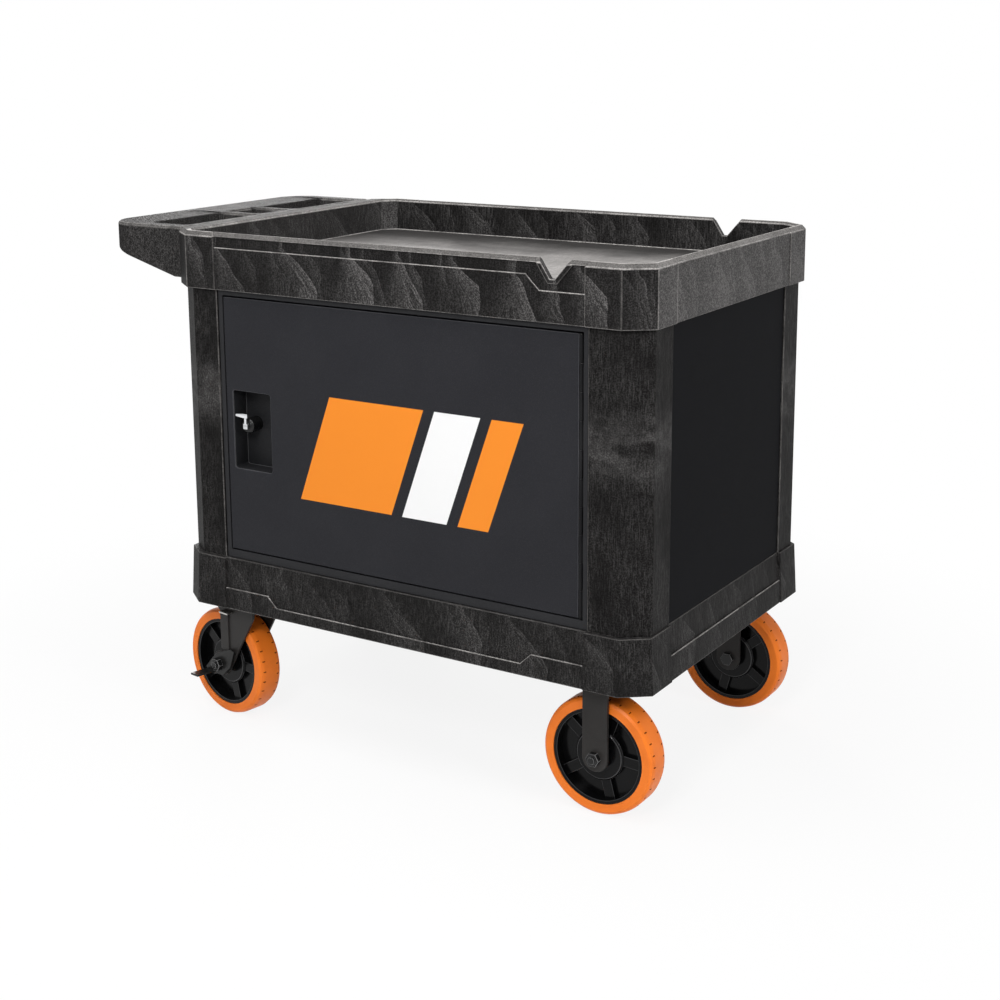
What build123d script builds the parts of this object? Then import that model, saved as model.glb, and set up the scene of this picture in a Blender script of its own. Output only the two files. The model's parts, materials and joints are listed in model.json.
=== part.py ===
from build123d import *
from math import cos, radians, sin, tan
import os

# A rolling job site chest: a two-shelf cart of structural foam, closed in with steel panels.
# Millimetres. x runs along the chest with the push handle at -x, the door faces -y, z = 0 is the floor.
# Places along x and y are measured from the middle of the chest body, which stands at x = BODY_X.

os.makedirs("parts", exist_ok=True)

# Clearances
SEAM = 1.5  # between panels, posts and shelves
DOOR_GAP = 3.0  # round the door, except on the hinge side
HINGE_GAP = 8.0  # between door and frame on the hinge side
RUN_FIT = 0.06  # radial, between a turning piece and its shaft
FIXED_FIT = 0.2  # radial, between a bolt and the hole it is fixed in
FREE = 0.6  # between faces that slide past each other

# Chest body, the outline of its four posts
BODY_L = 949.0
BODY_W = 634.0
BODY_H = 493.0  # between the two shelves
CORNER_CUT = (45.3, 34.7)  # the corners are cut off flat, along the length and the width
POST_X = 99.0
POST_Y = 94.5
POST_T = 8.0
POST_FOOT = 3.0  # the foot is this much smaller all round

# Both shelves
CORNER_X = 102.0  # plain corners, measured in from the body's outline
CORNER_Y = 93.0
BAND = 2.5  # the faces between the corners sit this far back
POCKET = 3.5  # and this much further above the ledge
FLOOR_T = 6.0

# Lower shelf
SKIRT_OVER_X = 8.5  # the skirt's foot stands this far outside the posts
SKIRT_OVER_Y = 12.0
SKIRT_H = 95.0
SKIRT_DRAFT = 3.0
SKIRT_WALL = 8.0
SKIRT_DROP = 9.8  # the skirt hangs this far below the caster plates
UNDER_WALL = 15.0
SHELF_FLOOR_UP = 34.5
LEDGE_LOW = 20.5
LEDGE_HIGH = 39.5
LEDGE_END = 43.5
LEDGE_TURN = (117.0, 97.0)  # where the ledge climbs, measured back from the corner
BOSS_RIM = 7.0

# Upper tray
TRAY_OVER_X = 7.5
TRAY_OVER_Y = 8.0
TRAY_H = 101.5
WELL_DEPTH = 63.0
WELL_CUT = 24.0  # the well's corners by the handle
WELL_END_CUT = (36.0, 28.0)  # and at its other end, along the outline's corners
WELL_LIP = 4.0
RIM_WALL = 14.0
HANDLE_WALL = 30.0  # thicker end wall between the well and the handle
RIM_BEVEL = 7.5
RIM_SLOPE = 40.0
TRAY_LEDGE = 75.5
TRAY_LEDGE_LOW = 51.0
TRAY_LEDGE_TURN = (107.0, 82.0)  # measured back from the right corner, like the notch
NOTCH_TOP = (84.0, 26.0)
NOTCH_LOW = (63.0, 54.0)
NOTCH_DEPTH = 32.0
NOTCH_FRAME = 4.0

# Push handle
HANDLE_REACH = 193.0
HANDLE_SIDE = 40.0  # in from the tray's sides
HANDLE_UP = 9.0  # its underside, above the tray's lower edge
HANDLE_END_H = 44.0
HANDLE_FLAT = 21.0
HANDLE_R = 66.0
HANDLE_T = 6.0
HANDLE_BEVEL = 4.0
GRIP_BAR = 81.0
GRIP_ROOT = 13.0
GRIP_SIDE = 30.0
GRIP_MIDDLE = 114.0
GRIP_R = 12.0
GRIP_RIM = 10.0  # flat edge outside the dip in each grip
GRIP_DIP = 3.0
DIP_R = 44.0
SLOT_X = 86.0
SLOT_Y = 84.0
SLOT_R = 8.0

# Steel panels and door
SHEET = 2.0
PANEL_SET = 3.0  # panel faces behind the posts' faces
PANEL_GAP = 0.75  # above and below the panels
TAB = 26.0
FRAME_LEFT = 9.0
FRAME_RIGHT = 8.0
FRAME_LOW = 15.0
FRAME_HIGH = 9.0
FRAME_FLANGE = 37.0
DOOR_DEPTH = 20.0
STIFF_X = 40.0
STIFF_W = 60.0
STIFF_FOOT = 18.0
STIFF_DEPTH = 17.0
STIFF_SHORT = 8.0
SCREW_R = 2.5
SCREW_HEAD_R = 5.0
SCREW_HEAD_H = 3.0
SCREW_BITE = 6.0
SCREW_MARGIN = 53.0

# Continuous hinge
KNUCKLES = 10
KNUCKLE_GAP = 0.4
HINGE_PIN_R = 1.5
HINGE_SET = 0.5  # the pin's axis, behind the door's face
LEAF_DEPTH = 20.0
LEAF_T = 1.6
LEAF_BITE = 0.4

# Latch
CUP_EDGE = 13.5  # from the door's free edge
CUP_UP = 152.0
CUP_L = 85.5
CUP_H = 143.0
CUP_DEPTH = 36.0
CUP_R = 5.0
CUP_LIP = 8.0
LATCH_IN = 24.0  # the shaft, from the cup's corner
LATCH_UP = 78.0
LATCH_SHAFT_R = 5.0
LOCK_R = 13.5
LOCK_H = 27.0
LOCK_BEVEL = 2.0
LEVER_HUB = 10.0
LEVER_T = 6.0
LEVER_RISE = 19.0
LEVER_BAR = 22.0
LEVER_BAR_H = 8.0
CRANK_R = 14.0
CRANK_PIN_R = 2.5
CRANK_RIM = 2.0
CRANK_PLAY = 0.8
CAM_T = 3.0
CAM_HUB = 4.0
BOLT_T = 6.0
BOLT_BACK = 1.0  # drawn back from the door's free edge
BOLT_CLEAR = 1.5
BOLT_WEB = 4.0
GUIDE_W = 8.0
GUIDE_FOOT = 7.0
GUIDE_CLEAR = 2.5

# Casters
WHEEL_R = 101.6
WHEEL_W = 50.0
WHEEL_GAP = 3.0
TYRE_T = 19.1
TYRE_SHOULDER = 6.0
HEAD_ROOM = 38.1  # from the top of the wheel to the top of the plate
CASTER_IN_X = 96.5
CASTER_IN_Y = 57.0
TRAIL = 42.0
FRONT_YAW = -8.8
REAR_YAW = 6.0
PLATE_L = 110.0
PLATE_W = 90.0
PLATE_T = 5.0
PLATE_HOLE_X = 84.0
PLATE_HOLE_Y = 64.0
CASTER_BOLT_R = 4.0
CASTER_BOLT_AF = 13.0
CASTER_BOLT_HEAD = 5.0
CASTER_BOLT_UP = 16.0
FORK_T = 5.0
AXLE_R = 6.3
NUT_AF = 22.0
NUT_H = 10.0
AXLE_HEAD = 8.0
AXLE_TIP = 3.0
SLEEVE_R = 10.0
HUB_RIM_T = 6.5
HUB_RIM_SET = 1.5
HUB_WEB_HALF = 6.0
HUB_DISC_R = 44.0
HUB_DISC_HALF = 18.0
HUB_BEVEL = 3.0
HUB_BOSS_R = 19.0
HUB_PLAY = 1.0
SPOKES = 5
SPOKE_W = 18.0
SPOKE_HALF = 14.0
SPOKE_START = 69.0
LEG_HALF = 23.5
SWAGE = 1.8
SWAGE_LOW = 36.0
SWAGE_IN = 12.0
SWAGE_R = 24.0
CROWN_HALF = 50.0
CROWN_T = 6.0
RACE_H = 8.7
RACE_R = (24.0, 36.0)
KINGPIN_R = 9.5
KINGPIN_NUT_R = 15.0
KINGPIN_NUT_H = 9.0
LEG_BOSS_R = 24.0
LEG_BACK = 3.0
LEG_FRONT = (22.0, -10.0)
LEG_HEAD = (14.0, 8.0, 20.0)  # depth under the crown at its front, at its back, and at the leg
STRAP_L = 22.0
STRAP_LOW = 30.0
STRAP_SET = 15.4
STRAP_T = 3.0
LOCK_TAB_L = 24.0
LOCK_TAB_W = 14.0
LOCK_TAB_T = 3.0
BRAKE_T = 4.0
BRAKE_PLATE = ((-18, 9), (-2, 22), (34, 36), (44, 33), (32, 0), (10, -21), (-32, -21), (-38, -14))
BRAKE_PAD = ((-36, 0), (-14, 0), (-20, 40), (-40, 40))

# Derived sizes and places
SKIRT_L = BODY_L + 2 * SKIRT_OVER_X
SKIRT_W = BODY_W + 2 * SKIRT_OVER_Y
TRAY_L = BODY_L + 2 * TRAY_OVER_X
TRAY_W = BODY_W + 2 * TRAY_OVER_Y
BODY_X = (TRAY_L / 2 + HANDLE_REACH - SKIRT_L / 2) / 2
CASTER_H = 2 * WHEEL_R + HEAD_ROOM
SKIRT_BASE = CASTER_H - SKIRT_DROP
SHELF_FLOOR = SKIRT_BASE + SHELF_FLOOR_UP
SKIRT_TOP = SKIRT_BASE + SKIRT_H
TRAY_BASE = SKIRT_TOP + BODY_H
TRAY_TOP = TRAY_BASE + TRAY_H
TRAY_FLOOR = TRAY_TOP - WELL_DEPTH
POST_TOP = TRAY_FLOOR - FLOOR_T
BAND_X = BODY_L / 2 - CORNER_X
BAND_Y = BODY_W / 2 - CORNER_Y
POST_EDGE_X = BODY_L / 2 - POST_X
POST_EDGE_Y = BODY_W / 2 - POST_Y
PANEL_X = POST_EDGE_X - SEAM
PANEL_Y = POST_EDGE_Y - SEAM
PANEL_LOW = SKIRT_TOP + PANEL_GAP
PANEL_HIGH = TRAY_BASE - PANEL_GAP
FACE_Y = BODY_W / 2 - PANEL_SET
TAB_Y = BODY_W / 2 - POST_T
OPENING_X = (FRAME_LEFT - PANEL_X, PANEL_X - FRAME_RIGHT)
OPENING_Z = (PANEL_LOW + FRAME_LOW, PANEL_HIGH - FRAME_HIGH)
DOOR_X = (OPENING_X[0] + DOOR_GAP, OPENING_X[1] - HINGE_GAP)
DOOR_Z = (OPENING_Z[0] + DOOR_GAP, OPENING_Z[1] - DOOR_GAP)
HINGE_X = OPENING_X[1] - HINGE_GAP / 2
HINGE_Y = HINGE_SET - FACE_Y
KNUCKLE_R = HINGE_GAP / 2 - LEAF_T + LEAF_BITE
CUP_MIDDLE = (DOOR_X[0] + CUP_EDGE + CUP_L / 2, DOOR_Z[0] + CUP_UP + CUP_H / 2)
CUP_BACK = CUP_DEPTH - FACE_Y
LATCH_X = DOOR_X[0] + CUP_EDGE + LATCH_IN
LATCH_Z = DOOR_Z[0] + CUP_UP + LATCH_UP
LOCK_FACE = CUP_BACK - LOCK_H
BOLT_FACE = CUP_BACK + SHEET + FREE
CAM_FACE = BOLT_FACE + BOLT_T + FREE
SHAFT_BACK = CAM_FACE + CAM_T + FREE
CRANK_STEP = CRANK_R * sin(radians(45))
BOLT_THROW = 2 * CRANK_STEP
BOLT_TOP = LATCH_Z - LATCH_SHAFT_R - BOLT_CLEAR
BOLT_SLOT = LATCH_Z - CRANK_R - CRANK_PIN_R - 2 * FREE
BOLT_LOW = BOLT_SLOT - BOLT_WEB
GUIDE_REACH = CRANK_STEP + CRANK_PIN_R + CRANK_RIM + GUIDE_CLEAR + GUIDE_W / 2
CASTER_X = BODY_L / 2 - CASTER_IN_X
CASTER_Y = BODY_W / 2 - CASTER_IN_Y
TYRE_BORE = WHEEL_R - TYRE_T
FORK_GAP = WHEEL_W / 2 + WHEEL_GAP
FORK_OUT = FORK_GAP + FORK_T
PLATE_LOW = CASTER_H - PLATE_T
CROWN_TOP = PLATE_LOW - RACE_H - FREE
CROWN_LOW = CROWN_TOP - CROWN_T
BRAKE_LOW = FORK_OUT + STRAP_T + FREE


def level(z):
    """A horizontal plane at height z, centred on the chest body."""
    return Plane((BODY_X, 0, z))


def front(y):
    """An upright plane facing the door side, with sketch y as height."""
    return Plane((BODY_X, y, 0), x_dir=(1, 0, 0), z_dir=(0, -1, 0))


def save(part, name):
    """Labels a finished piece and writes it out."""
    part.label = name
    export_step(part, f"parts/{name}.step")


def body_outline(length, width):
    """Plan of the chest: straight sides, and corners cut off flat."""
    with BuildSketch() as outline:
        with BuildLine():
            Polyline(
                (0, -width / 2),
                (length / 2 - CORNER_CUT[0], -width / 2),
                (length / 2, CORNER_CUT[1] - width / 2),
                (length / 2, 0),
            )
            mirror(about=Plane.XZ)
            mirror(about=Plane.YZ)
        make_face()
    return outline.sketch


def outline_ring(length, width, wall):
    """The same plan as a wall."""
    with BuildSketch() as ring:
        add(body_outline(length, width))
        add(body_outline(length - 2 * wall, width - 2 * wall), mode=Mode.SUBTRACT)
    return ring.sketch


def post_zones(gap):
    """Four rectangles that hold the posts, with a gap at their inner edges."""
    with BuildSketch() as zones:
        with GridLocations(2 * (POST_EDGE_X - gap) + SKIRT_L, 2 * (POST_EDGE_Y - gap) + SKIRT_W, 2, 2):
            Rectangle(SKIRT_L, SKIRT_W)
    return zones.sketch


def skirt_face(turn, half):
    """Plane on one leaning face of the skirt, with sketch y running up the face."""
    out = Vector(0, -1, 0).rotate(Axis.Z, turn)
    along = Vector(1, 0, 0).rotate(Axis.Z, turn)
    origin = Vector(BODY_X, 0, SKIRT_BASE) + out * half
    lean = out * cos(radians(SKIRT_DRAFT)) + Vector(0, 0, 1) * sin(radians(SKIRT_DRAFT))
    return Plane(origin, x_dir=along, z_dir=lean)


# Lower shelf: a drafted skirt round a floor, with the faces between the corners set back in two steps.
skirt_in = SKIRT_H * tan(radians(SKIRT_DRAFT)) + BAND + POCKET + SKIRT_WALL

with BuildPart() as lower_shelf:
    with BuildSketch(level(SKIRT_BASE)):
        add(body_outline(SKIRT_L, SKIRT_W))
    extrude(amount=SKIRT_H, taper=SKIRT_DRAFT)
    for turn in (0, 180):
        with BuildSketch(skirt_face(turn, SKIRT_W / 2)):
            Rectangle(2 * BAND_X, 3 * SKIRT_H)
        extrude(amount=-BAND, mode=Mode.SUBTRACT)
        with BuildSketch(skirt_face(turn, SKIRT_W / 2)):
            with BuildLine():
                Polyline(
                    (0, LEDGE_LOW),
                    (BAND_X - LEDGE_TURN[0], LEDGE_LOW),
                    (BAND_X - LEDGE_TURN[1], LEDGE_HIGH),
                    (BAND_X, LEDGE_HIGH),
                    (BAND_X, 2 * SKIRT_H),
                    (0, 2 * SKIRT_H),
                )
                mirror(about=Plane.YZ)
            make_face()
        extrude(amount=-BAND - POCKET, mode=Mode.SUBTRACT)
    for turn in (90, 270):
        with BuildSketch(skirt_face(turn, SKIRT_L / 2)):
            Rectangle(2 * BAND_Y, 3 * SKIRT_H)
        extrude(amount=-BAND, mode=Mode.SUBTRACT)
        with BuildSketch(skirt_face(turn, SKIRT_L / 2)):
            with Locations((0, LEDGE_END + SKIRT_H)):
                Rectangle(2 * BAND_Y, 2 * SKIRT_H)
        extrude(amount=-BAND - POCKET, mode=Mode.SUBTRACT)
    with BuildSketch(level(SHELF_FLOOR)):
        add(body_outline(SKIRT_L - 2 * skirt_in, SKIRT_W - 2 * skirt_in))
    extrude(amount=SKIRT_H, mode=Mode.SUBTRACT)
    with BuildSketch(level(SHELF_FLOOR)):
        add(body_outline(BODY_L - 2 * POST_FOOT + SEAM, BODY_W - 2 * POST_FOOT + SEAM))
        add(post_zones(SEAM), mode=Mode.INTERSECT)
    extrude(amount=SKIRT_H, mode=Mode.SUBTRACT)
    with BuildSketch(level(SKIRT_BASE)):
        add(body_outline(SKIRT_L - 2 * UNDER_WALL, SKIRT_W - 2 * UNDER_WALL))
    extrude(amount=CASTER_H - SKIRT_BASE, mode=Mode.SUBTRACT)
    with BuildSketch(level(CASTER_H)):
        add(body_outline(SKIRT_L - 2 * UNDER_WALL, SKIRT_W - 2 * UNDER_WALL))
        with GridLocations(2 * CASTER_X, 2 * CASTER_Y, 2, 2):
            Rectangle(PLATE_L + 2 * BOSS_RIM, PLATE_W + 2 * BOSS_RIM, mode=Mode.SUBTRACT)
    extrude(amount=SHELF_FLOOR - FLOOR_T - CASTER_H, mode=Mode.SUBTRACT)
save(lower_shelf.part, "lower_shelf")

# Upper tray: bevelled rim, deep well, a V notch front and back, and a hollow underside that takes the posts.
band_top = TRAY_TOP - RIM_BEVEL
well_left = HANDLE_WALL - TRAY_L / 2
well_right = TRAY_L / 2 - RIM_WALL
well_side = TRAY_W / 2 - RIM_WALL


def well_plan():
    """Plan of the tray's well, with its corners cut."""
    with BuildSketch() as plan:
        with BuildLine():
            Polyline(
                (well_left, 0),
                (well_left, WELL_CUT - well_side),
                (well_left + WELL_CUT, -well_side),
                (well_right - WELL_END_CUT[0], -well_side),
                (well_right, WELL_END_CUT[1] - well_side),
                (well_right, 0),
            )
            mirror(about=Plane.XZ)
        make_face()
    return plan.sketch


with BuildPart() as upper_tray:
    with BuildSketch(level(TRAY_BASE)):
        add(body_outline(TRAY_L, TRAY_W))
    extrude(amount=TRAY_H - RIM_BEVEL)
    with BuildSketch(level(band_top)):
        add(body_outline(TRAY_L, TRAY_W))
    extrude(amount=RIM_BEVEL, taper=RIM_SLOPE)
    with BuildSketch(level(band_top)):
        with Locations((0, TRAY_W / 2), (0, -TRAY_W / 2)):
            Rectangle(2 * BAND_X, 2 * BAND)
        with Locations((TRAY_L / 2, 0)):
            Rectangle(2 * BAND, 2 * BAND_Y)
    extrude(amount=RIM_BEVEL, taper=-RIM_SLOPE, mode=Mode.SUBTRACT)
    for side in (-1, 1):
        with BuildSketch(front(side * TRAY_W / 2)):
            with Locations((0, band_top - TRAY_H)):
                Rectangle(2 * BAND_X, 2 * TRAY_H)
        extrude(amount=side * BAND, mode=Mode.SUBTRACT)
        with BuildSketch(front(side * TRAY_W / 2)):
            with BuildLine():
                Polyline(
                    (-BAND_X, TRAY_BASE + TRAY_LEDGE),
                    (BAND_X - TRAY_LEDGE_TURN[0], TRAY_BASE + TRAY_LEDGE),
                    (BAND_X - TRAY_LEDGE_TURN[1], TRAY_BASE + TRAY_LEDGE_LOW),
                    (BAND_X, TRAY_BASE + TRAY_LEDGE_LOW),
                    (BAND_X, band_top),
                    (BAND_X - NOTCH_TOP[1] + NOTCH_FRAME, band_top),
                    (BAND_X - NOTCH_LOW[1] + NOTCH_FRAME, band_top - NOTCH_DEPTH),
                    (BAND_X - NOTCH_LOW[0] - NOTCH_FRAME, band_top - NOTCH_DEPTH),
                    (BAND_X - NOTCH_TOP[0] - NOTCH_FRAME, band_top),
                    (-BAND_X, band_top),
                    close=True,
                )
            make_face()
        extrude(amount=side * (BAND + POCKET), mode=Mode.SUBTRACT)
    with BuildSketch(Plane((BODY_X + TRAY_L / 2, 0, 0), x_dir=(0, 1, 0), z_dir=(1, 0, 0))):
        with Locations((0, band_top - TRAY_H)):
            Rectangle(2 * BAND_Y, 2 * TRAY_H)
    extrude(amount=-BAND, mode=Mode.SUBTRACT)
    with BuildSketch(level(TRAY_FLOOR)):
        add(well_plan())
    extrude(amount=TRAY_H, mode=Mode.SUBTRACT)
    with BuildSketch(level(TRAY_TOP - WELL_LIP)):
        add(well_plan())
    extrude(amount=WELL_LIP, taper=-RIM_SLOPE, mode=Mode.SUBTRACT)
    with BuildSketch(front(0)):
        with BuildLine():
            Polyline(
                (BAND_X - NOTCH_TOP[0], TRAY_TOP),
                (BAND_X - NOTCH_LOW[0], TRAY_TOP - NOTCH_DEPTH),
                (BAND_X - NOTCH_LOW[1], TRAY_TOP - NOTCH_DEPTH),
                (BAND_X - NOTCH_TOP[1], TRAY_TOP),
                close=True,
            )
        make_face()
    extrude(amount=TRAY_W, both=True, mode=Mode.SUBTRACT)
    with BuildSketch(level(TRAY_BASE)):
        add(body_outline(TRAY_L - 2 * RIM_WALL, TRAY_W - 2 * RIM_WALL))
    extrude(amount=POST_TOP - TRAY_BASE, mode=Mode.SUBTRACT)
    with BuildSketch(level(TRAY_BASE)):
        add(body_outline(BODY_L + 2 * SEAM, BODY_W + 2 * SEAM))
        add(post_zones(SEAM), mode=Mode.INTERSECT)
    extrude(amount=POST_TOP - TRAY_BASE, mode=Mode.SUBTRACT)
save(upper_tray.part, "upper_tray")

# Push handle: a frame moulded hollow from below, with two dipped grips and a slot, tapering to its end bar.
handle_end = -TRAY_L / 2 - HANDLE_REACH
handle_root = -TRAY_L / 2
handle_low = TRAY_BASE + HANDLE_UP
handle_w = TRAY_W - 2 * HANDLE_SIDE
grip_x = HANDLE_REACH - GRIP_BAR - GRIP_ROOT
grip_y = (handle_w - GRIP_MIDDLE) / 2 - GRIP_SIDE


grip_middle = handle_end + GRIP_BAR + grip_x / 2
grip_aside = (GRIP_MIDDLE + grip_y) / 2


def handle_plan(inset):
    """Plan of the handle, drawn in by inset from every edge."""
    with BuildSketch() as plan:
        with Locations(((handle_end + handle_root) / 2, 0)):
            edge = Rectangle(handle_root - handle_end - 2 * inset, handle_w - 2 * inset)
        fillet(edge.vertices().sort_by(Axis.X)[:2], HANDLE_R - inset)
        with Locations((grip_middle, grip_aside), (grip_middle, -grip_aside)):
            RectangleRounded(grip_x + 2 * inset, grip_y + 2 * inset, GRIP_R + inset, mode=Mode.SUBTRACT)
        with Locations((grip_middle, 0)):
            RectangleRounded(SLOT_X + 2 * inset, SLOT_Y + 2 * inset, SLOT_R + inset, mode=Mode.SUBTRACT)
    return plan.sketch


with BuildPart() as grip_dips:
    with BuildSketch(front(0)):
        with BuildLine():
            Polyline(
                (handle_end + GRIP_RIM, TRAY_TOP),
                (handle_end + GRIP_BAR + GRIP_R, TRAY_TOP),
                (handle_end + GRIP_BAR + GRIP_R, TRAY_TOP - GRIP_DIP),
                close=True,
            )
        make_face()
    extrude(amount=handle_w, both=True)
    with BuildSketch(level(TRAY_TOP - GRIP_DIP)):
        with Locations(*[(grip_middle, side * grip_aside) for side in (-1, 1)]):
            RectangleRounded(grip_x + 2 * (GRIP_BAR - GRIP_RIM), grip_y - 2 * FREE, DIP_R)
    extrude(amount=GRIP_DIP, mode=Mode.INTERSECT)

with BuildPart() as push_handle:
    with BuildSketch(level(handle_low)):
        add(handle_plan(0))
    extrude(amount=TRAY_TOP - handle_low - HANDLE_BEVEL)
    with BuildSketch(level(TRAY_TOP - HANDLE_BEVEL)):
        add(handle_plan(0))
    extrude(amount=HANDLE_BEVEL, taper=RIM_SLOPE)
    with BuildSketch(level(handle_low)):
        add(handle_plan(HANDLE_T))
    extrude(amount=TRAY_TOP - handle_low - HANDLE_T, mode=Mode.SUBTRACT)
    with BuildSketch(front(0)):
        with BuildLine():
            Polyline(
                (handle_end, TRAY_TOP),
                (handle_end, TRAY_TOP - HANDLE_END_H),
                (-TRAY_L / 2 - HANDLE_FLAT, handle_low),
                (handle_root, handle_low),
                (handle_root, TRAY_TOP),
                close=True,
            )
        make_face()
    extrude(amount=handle_w, both=True, mode=Mode.INTERSECT)
    add(grip_dips.part, mode=Mode.SUBTRACT)
save(push_handle.part, "push_handle")

# Four corner posts: shells with a flat cut corner, whose smaller feet stand on the lower shelf's floor.
for name, side_x, side_y in (
    ("front_left_post", -1, -1),
    ("front_right_post", 1, -1),
    ("rear_left_post", -1, 1),
    ("rear_right_post", 1, 1),
):
    corner = (side_x * (POST_EDGE_X + BODY_L / 2), side_y * (POST_EDGE_Y + BODY_W / 2))
    with BuildPart() as post:
        with BuildSketch(level(SKIRT_TOP)):
            add(outline_ring(BODY_L, BODY_W, POST_T))
            with Locations(corner):
                Rectangle(BODY_L, BODY_W, mode=Mode.INTERSECT)
        extrude(amount=POST_TOP - SKIRT_TOP)
        with BuildSketch(level(SHELF_FLOOR)):
            add(outline_ring(BODY_L - 2 * POST_FOOT, BODY_W - 2 * POST_FOOT, POST_T))
            with Locations(corner):
                Rectangle(BODY_L, BODY_W, mode=Mode.INTERSECT)
        extrude(amount=SKIRT_TOP - SHELF_FLOOR)
    save(post.part, name)


def panel_profile(half_run):
    """Plan of a folded panel for a long side: a face between two posts, with a tab behind each post."""
    with BuildSketch() as profile:
        with Locations((0, FACE_Y - SHEET / 2)):
            Rectangle(2 * half_run, SHEET)
        for side in (-1, 1):
            with Locations((side * (half_run - SHEET / 2), (FACE_Y + TAB_Y - SHEET) / 2)):
                Rectangle(SHEET, FACE_Y - TAB_Y + SHEET)
            with Locations((side * (half_run - SHEET + TAB / 2), TAB_Y - SHEET / 2)):
                Rectangle(TAB, SHEET)
    return profile.sketch


# Back and end panels: plain folded sheets that fill the sides between the posts.
end_shift = (BODY_L - BODY_W) / 2
panel_h = PANEL_HIGH - PANEL_LOW

with BuildPart() as back_panel:
    with BuildSketch(level(PANEL_LOW)):
        add(panel_profile(PANEL_X))
    extrude(amount=panel_h)
save(back_panel.part, "back_panel")

for name, side in (("left_end_panel", -1), ("right_end_panel", 1)):
    with BuildPart() as end_panel:
        stand = (BODY_X + side * end_shift, 0, PANEL_LOW)
        with BuildSketch(Plane(stand, x_dir=(0, -side, 0), z_dir=(0, 0, 1))):
            add(panel_profile(PANEL_Y))
        extrude(amount=panel_h)
    save(end_panel.part, name)

# Door frame: the front's folded sheet, with a door opening and a return flange all round it.
open_middle = ((OPENING_X[0] + OPENING_X[1]) / 2, (OPENING_Z[0] + OPENING_Z[1]) / 2)
open_l = OPENING_X[1] - OPENING_X[0]
open_h = OPENING_Z[1] - OPENING_Z[0]

with BuildPart() as door_frame:
    with BuildSketch(Plane((BODY_X, 0, PANEL_LOW), x_dir=(-1, 0, 0), z_dir=(0, 0, 1))):
        add(panel_profile(PANEL_X))
    extrude(amount=panel_h)
    with BuildSketch(front(-FACE_Y)):
        with Locations(open_middle):
            Rectangle(open_l, open_h)
    extrude(amount=-SHEET, mode=Mode.SUBTRACT)
    with BuildSketch(front(-FACE_Y)):
        with Locations(open_middle):
            Rectangle(open_l + 2 * SHEET, open_h + 2 * SHEET)
            Rectangle(open_l, open_h, mode=Mode.SUBTRACT)
    extrude(amount=-FRAME_FLANGE)
save(door_frame.part, "door_frame")

# Screws that hold the panel tabs to the posts, driven from inside.
screw_z = (PANEL_LOW + SCREW_MARGIN, (PANEL_LOW + PANEL_HIGH) / 2, PANEL_HIGH - SCREW_MARGIN)
screw_x = PANEL_X + TAB / 2
screw_y = PANEL_Y + TAB / 2
tab_in = TAB_Y - SHEET

with BuildPart() as panel_screws:
    for side in (-1, 1):
        for along in (-1, 1):
            behind = (BODY_X + along * screw_x, side * tab_in, 0)
            inside = (BODY_X + side * (tab_in + end_shift), along * screw_y, 0)
            long_side = Plane(behind, x_dir=(-side, 0, 0), z_dir=(0, side, 0))
            end_side = Plane(inside, x_dir=(0, side, 0), z_dir=(side, 0, 0))
            for plane in (long_side, end_side):
                with BuildSketch(plane):
                    with Locations(*[(0, z) for z in screw_z]):
                        Circle(SCREW_R)
                extrude(amount=SHEET + SCREW_BITE)
                with BuildSketch(plane):
                    with Locations(*[(0, z) for z in screw_z]):
                        Circle(SCREW_HEAD_R)
                extrude(amount=-SCREW_HEAD_H)
save(panel_screws.part, "panel_screws")

# Door skin: a folded pan with the latch opening near its free edge.
door_middle = ((DOOR_X[0] + DOOR_X[1]) / 2, (DOOR_Z[0] + DOOR_Z[1]) / 2)
door_l = DOOR_X[1] - DOOR_X[0]
door_h = DOOR_Z[1] - DOOR_Z[0]

with BuildPart() as door_skin:
    with BuildSketch(front(-FACE_Y)):
        with Locations(door_middle):
            Rectangle(door_l, door_h)
        with Locations(CUP_MIDDLE):
            RectangleRounded(CUP_L, CUP_H, CUP_R, mode=Mode.SUBTRACT)
    extrude(amount=-SHEET)
    with BuildSketch(front(-FACE_Y)):
        with Locations(door_middle):
            Rectangle(door_l, door_h)
            Rectangle(door_l - 2 * SHEET, door_h - 2 * SHEET, mode=Mode.SUBTRACT)
    extrude(amount=-DOOR_DEPTH)
save(door_skin.part, "door_skin")

# Door stiffener: an upright hat channel behind the skin.
with BuildPart() as door_stiffener:
    with BuildSketch(level(DOOR_Z[0] + STIFF_SHORT)):
        with Locations((STIFF_X, STIFF_DEPTH + SHEET / 2 - FACE_Y)):
            Rectangle(STIFF_W, SHEET)
        for side in (-1, 1):
            with Locations((STIFF_X + side * (STIFF_W - SHEET) / 2, SHEET + STIFF_DEPTH / 2 - FACE_Y)):
                Rectangle(SHEET, STIFF_DEPTH)
            with Locations((STIFF_X + side * (STIFF_W + STIFF_FOOT) / 2, 1.5 * SHEET - FACE_Y)):
                Rectangle(STIFF_FOOT, SHEET)
    extrude(amount=door_h - 2 * STIFF_SHORT)
save(door_stiffener.part, "door_stiffener")

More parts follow.
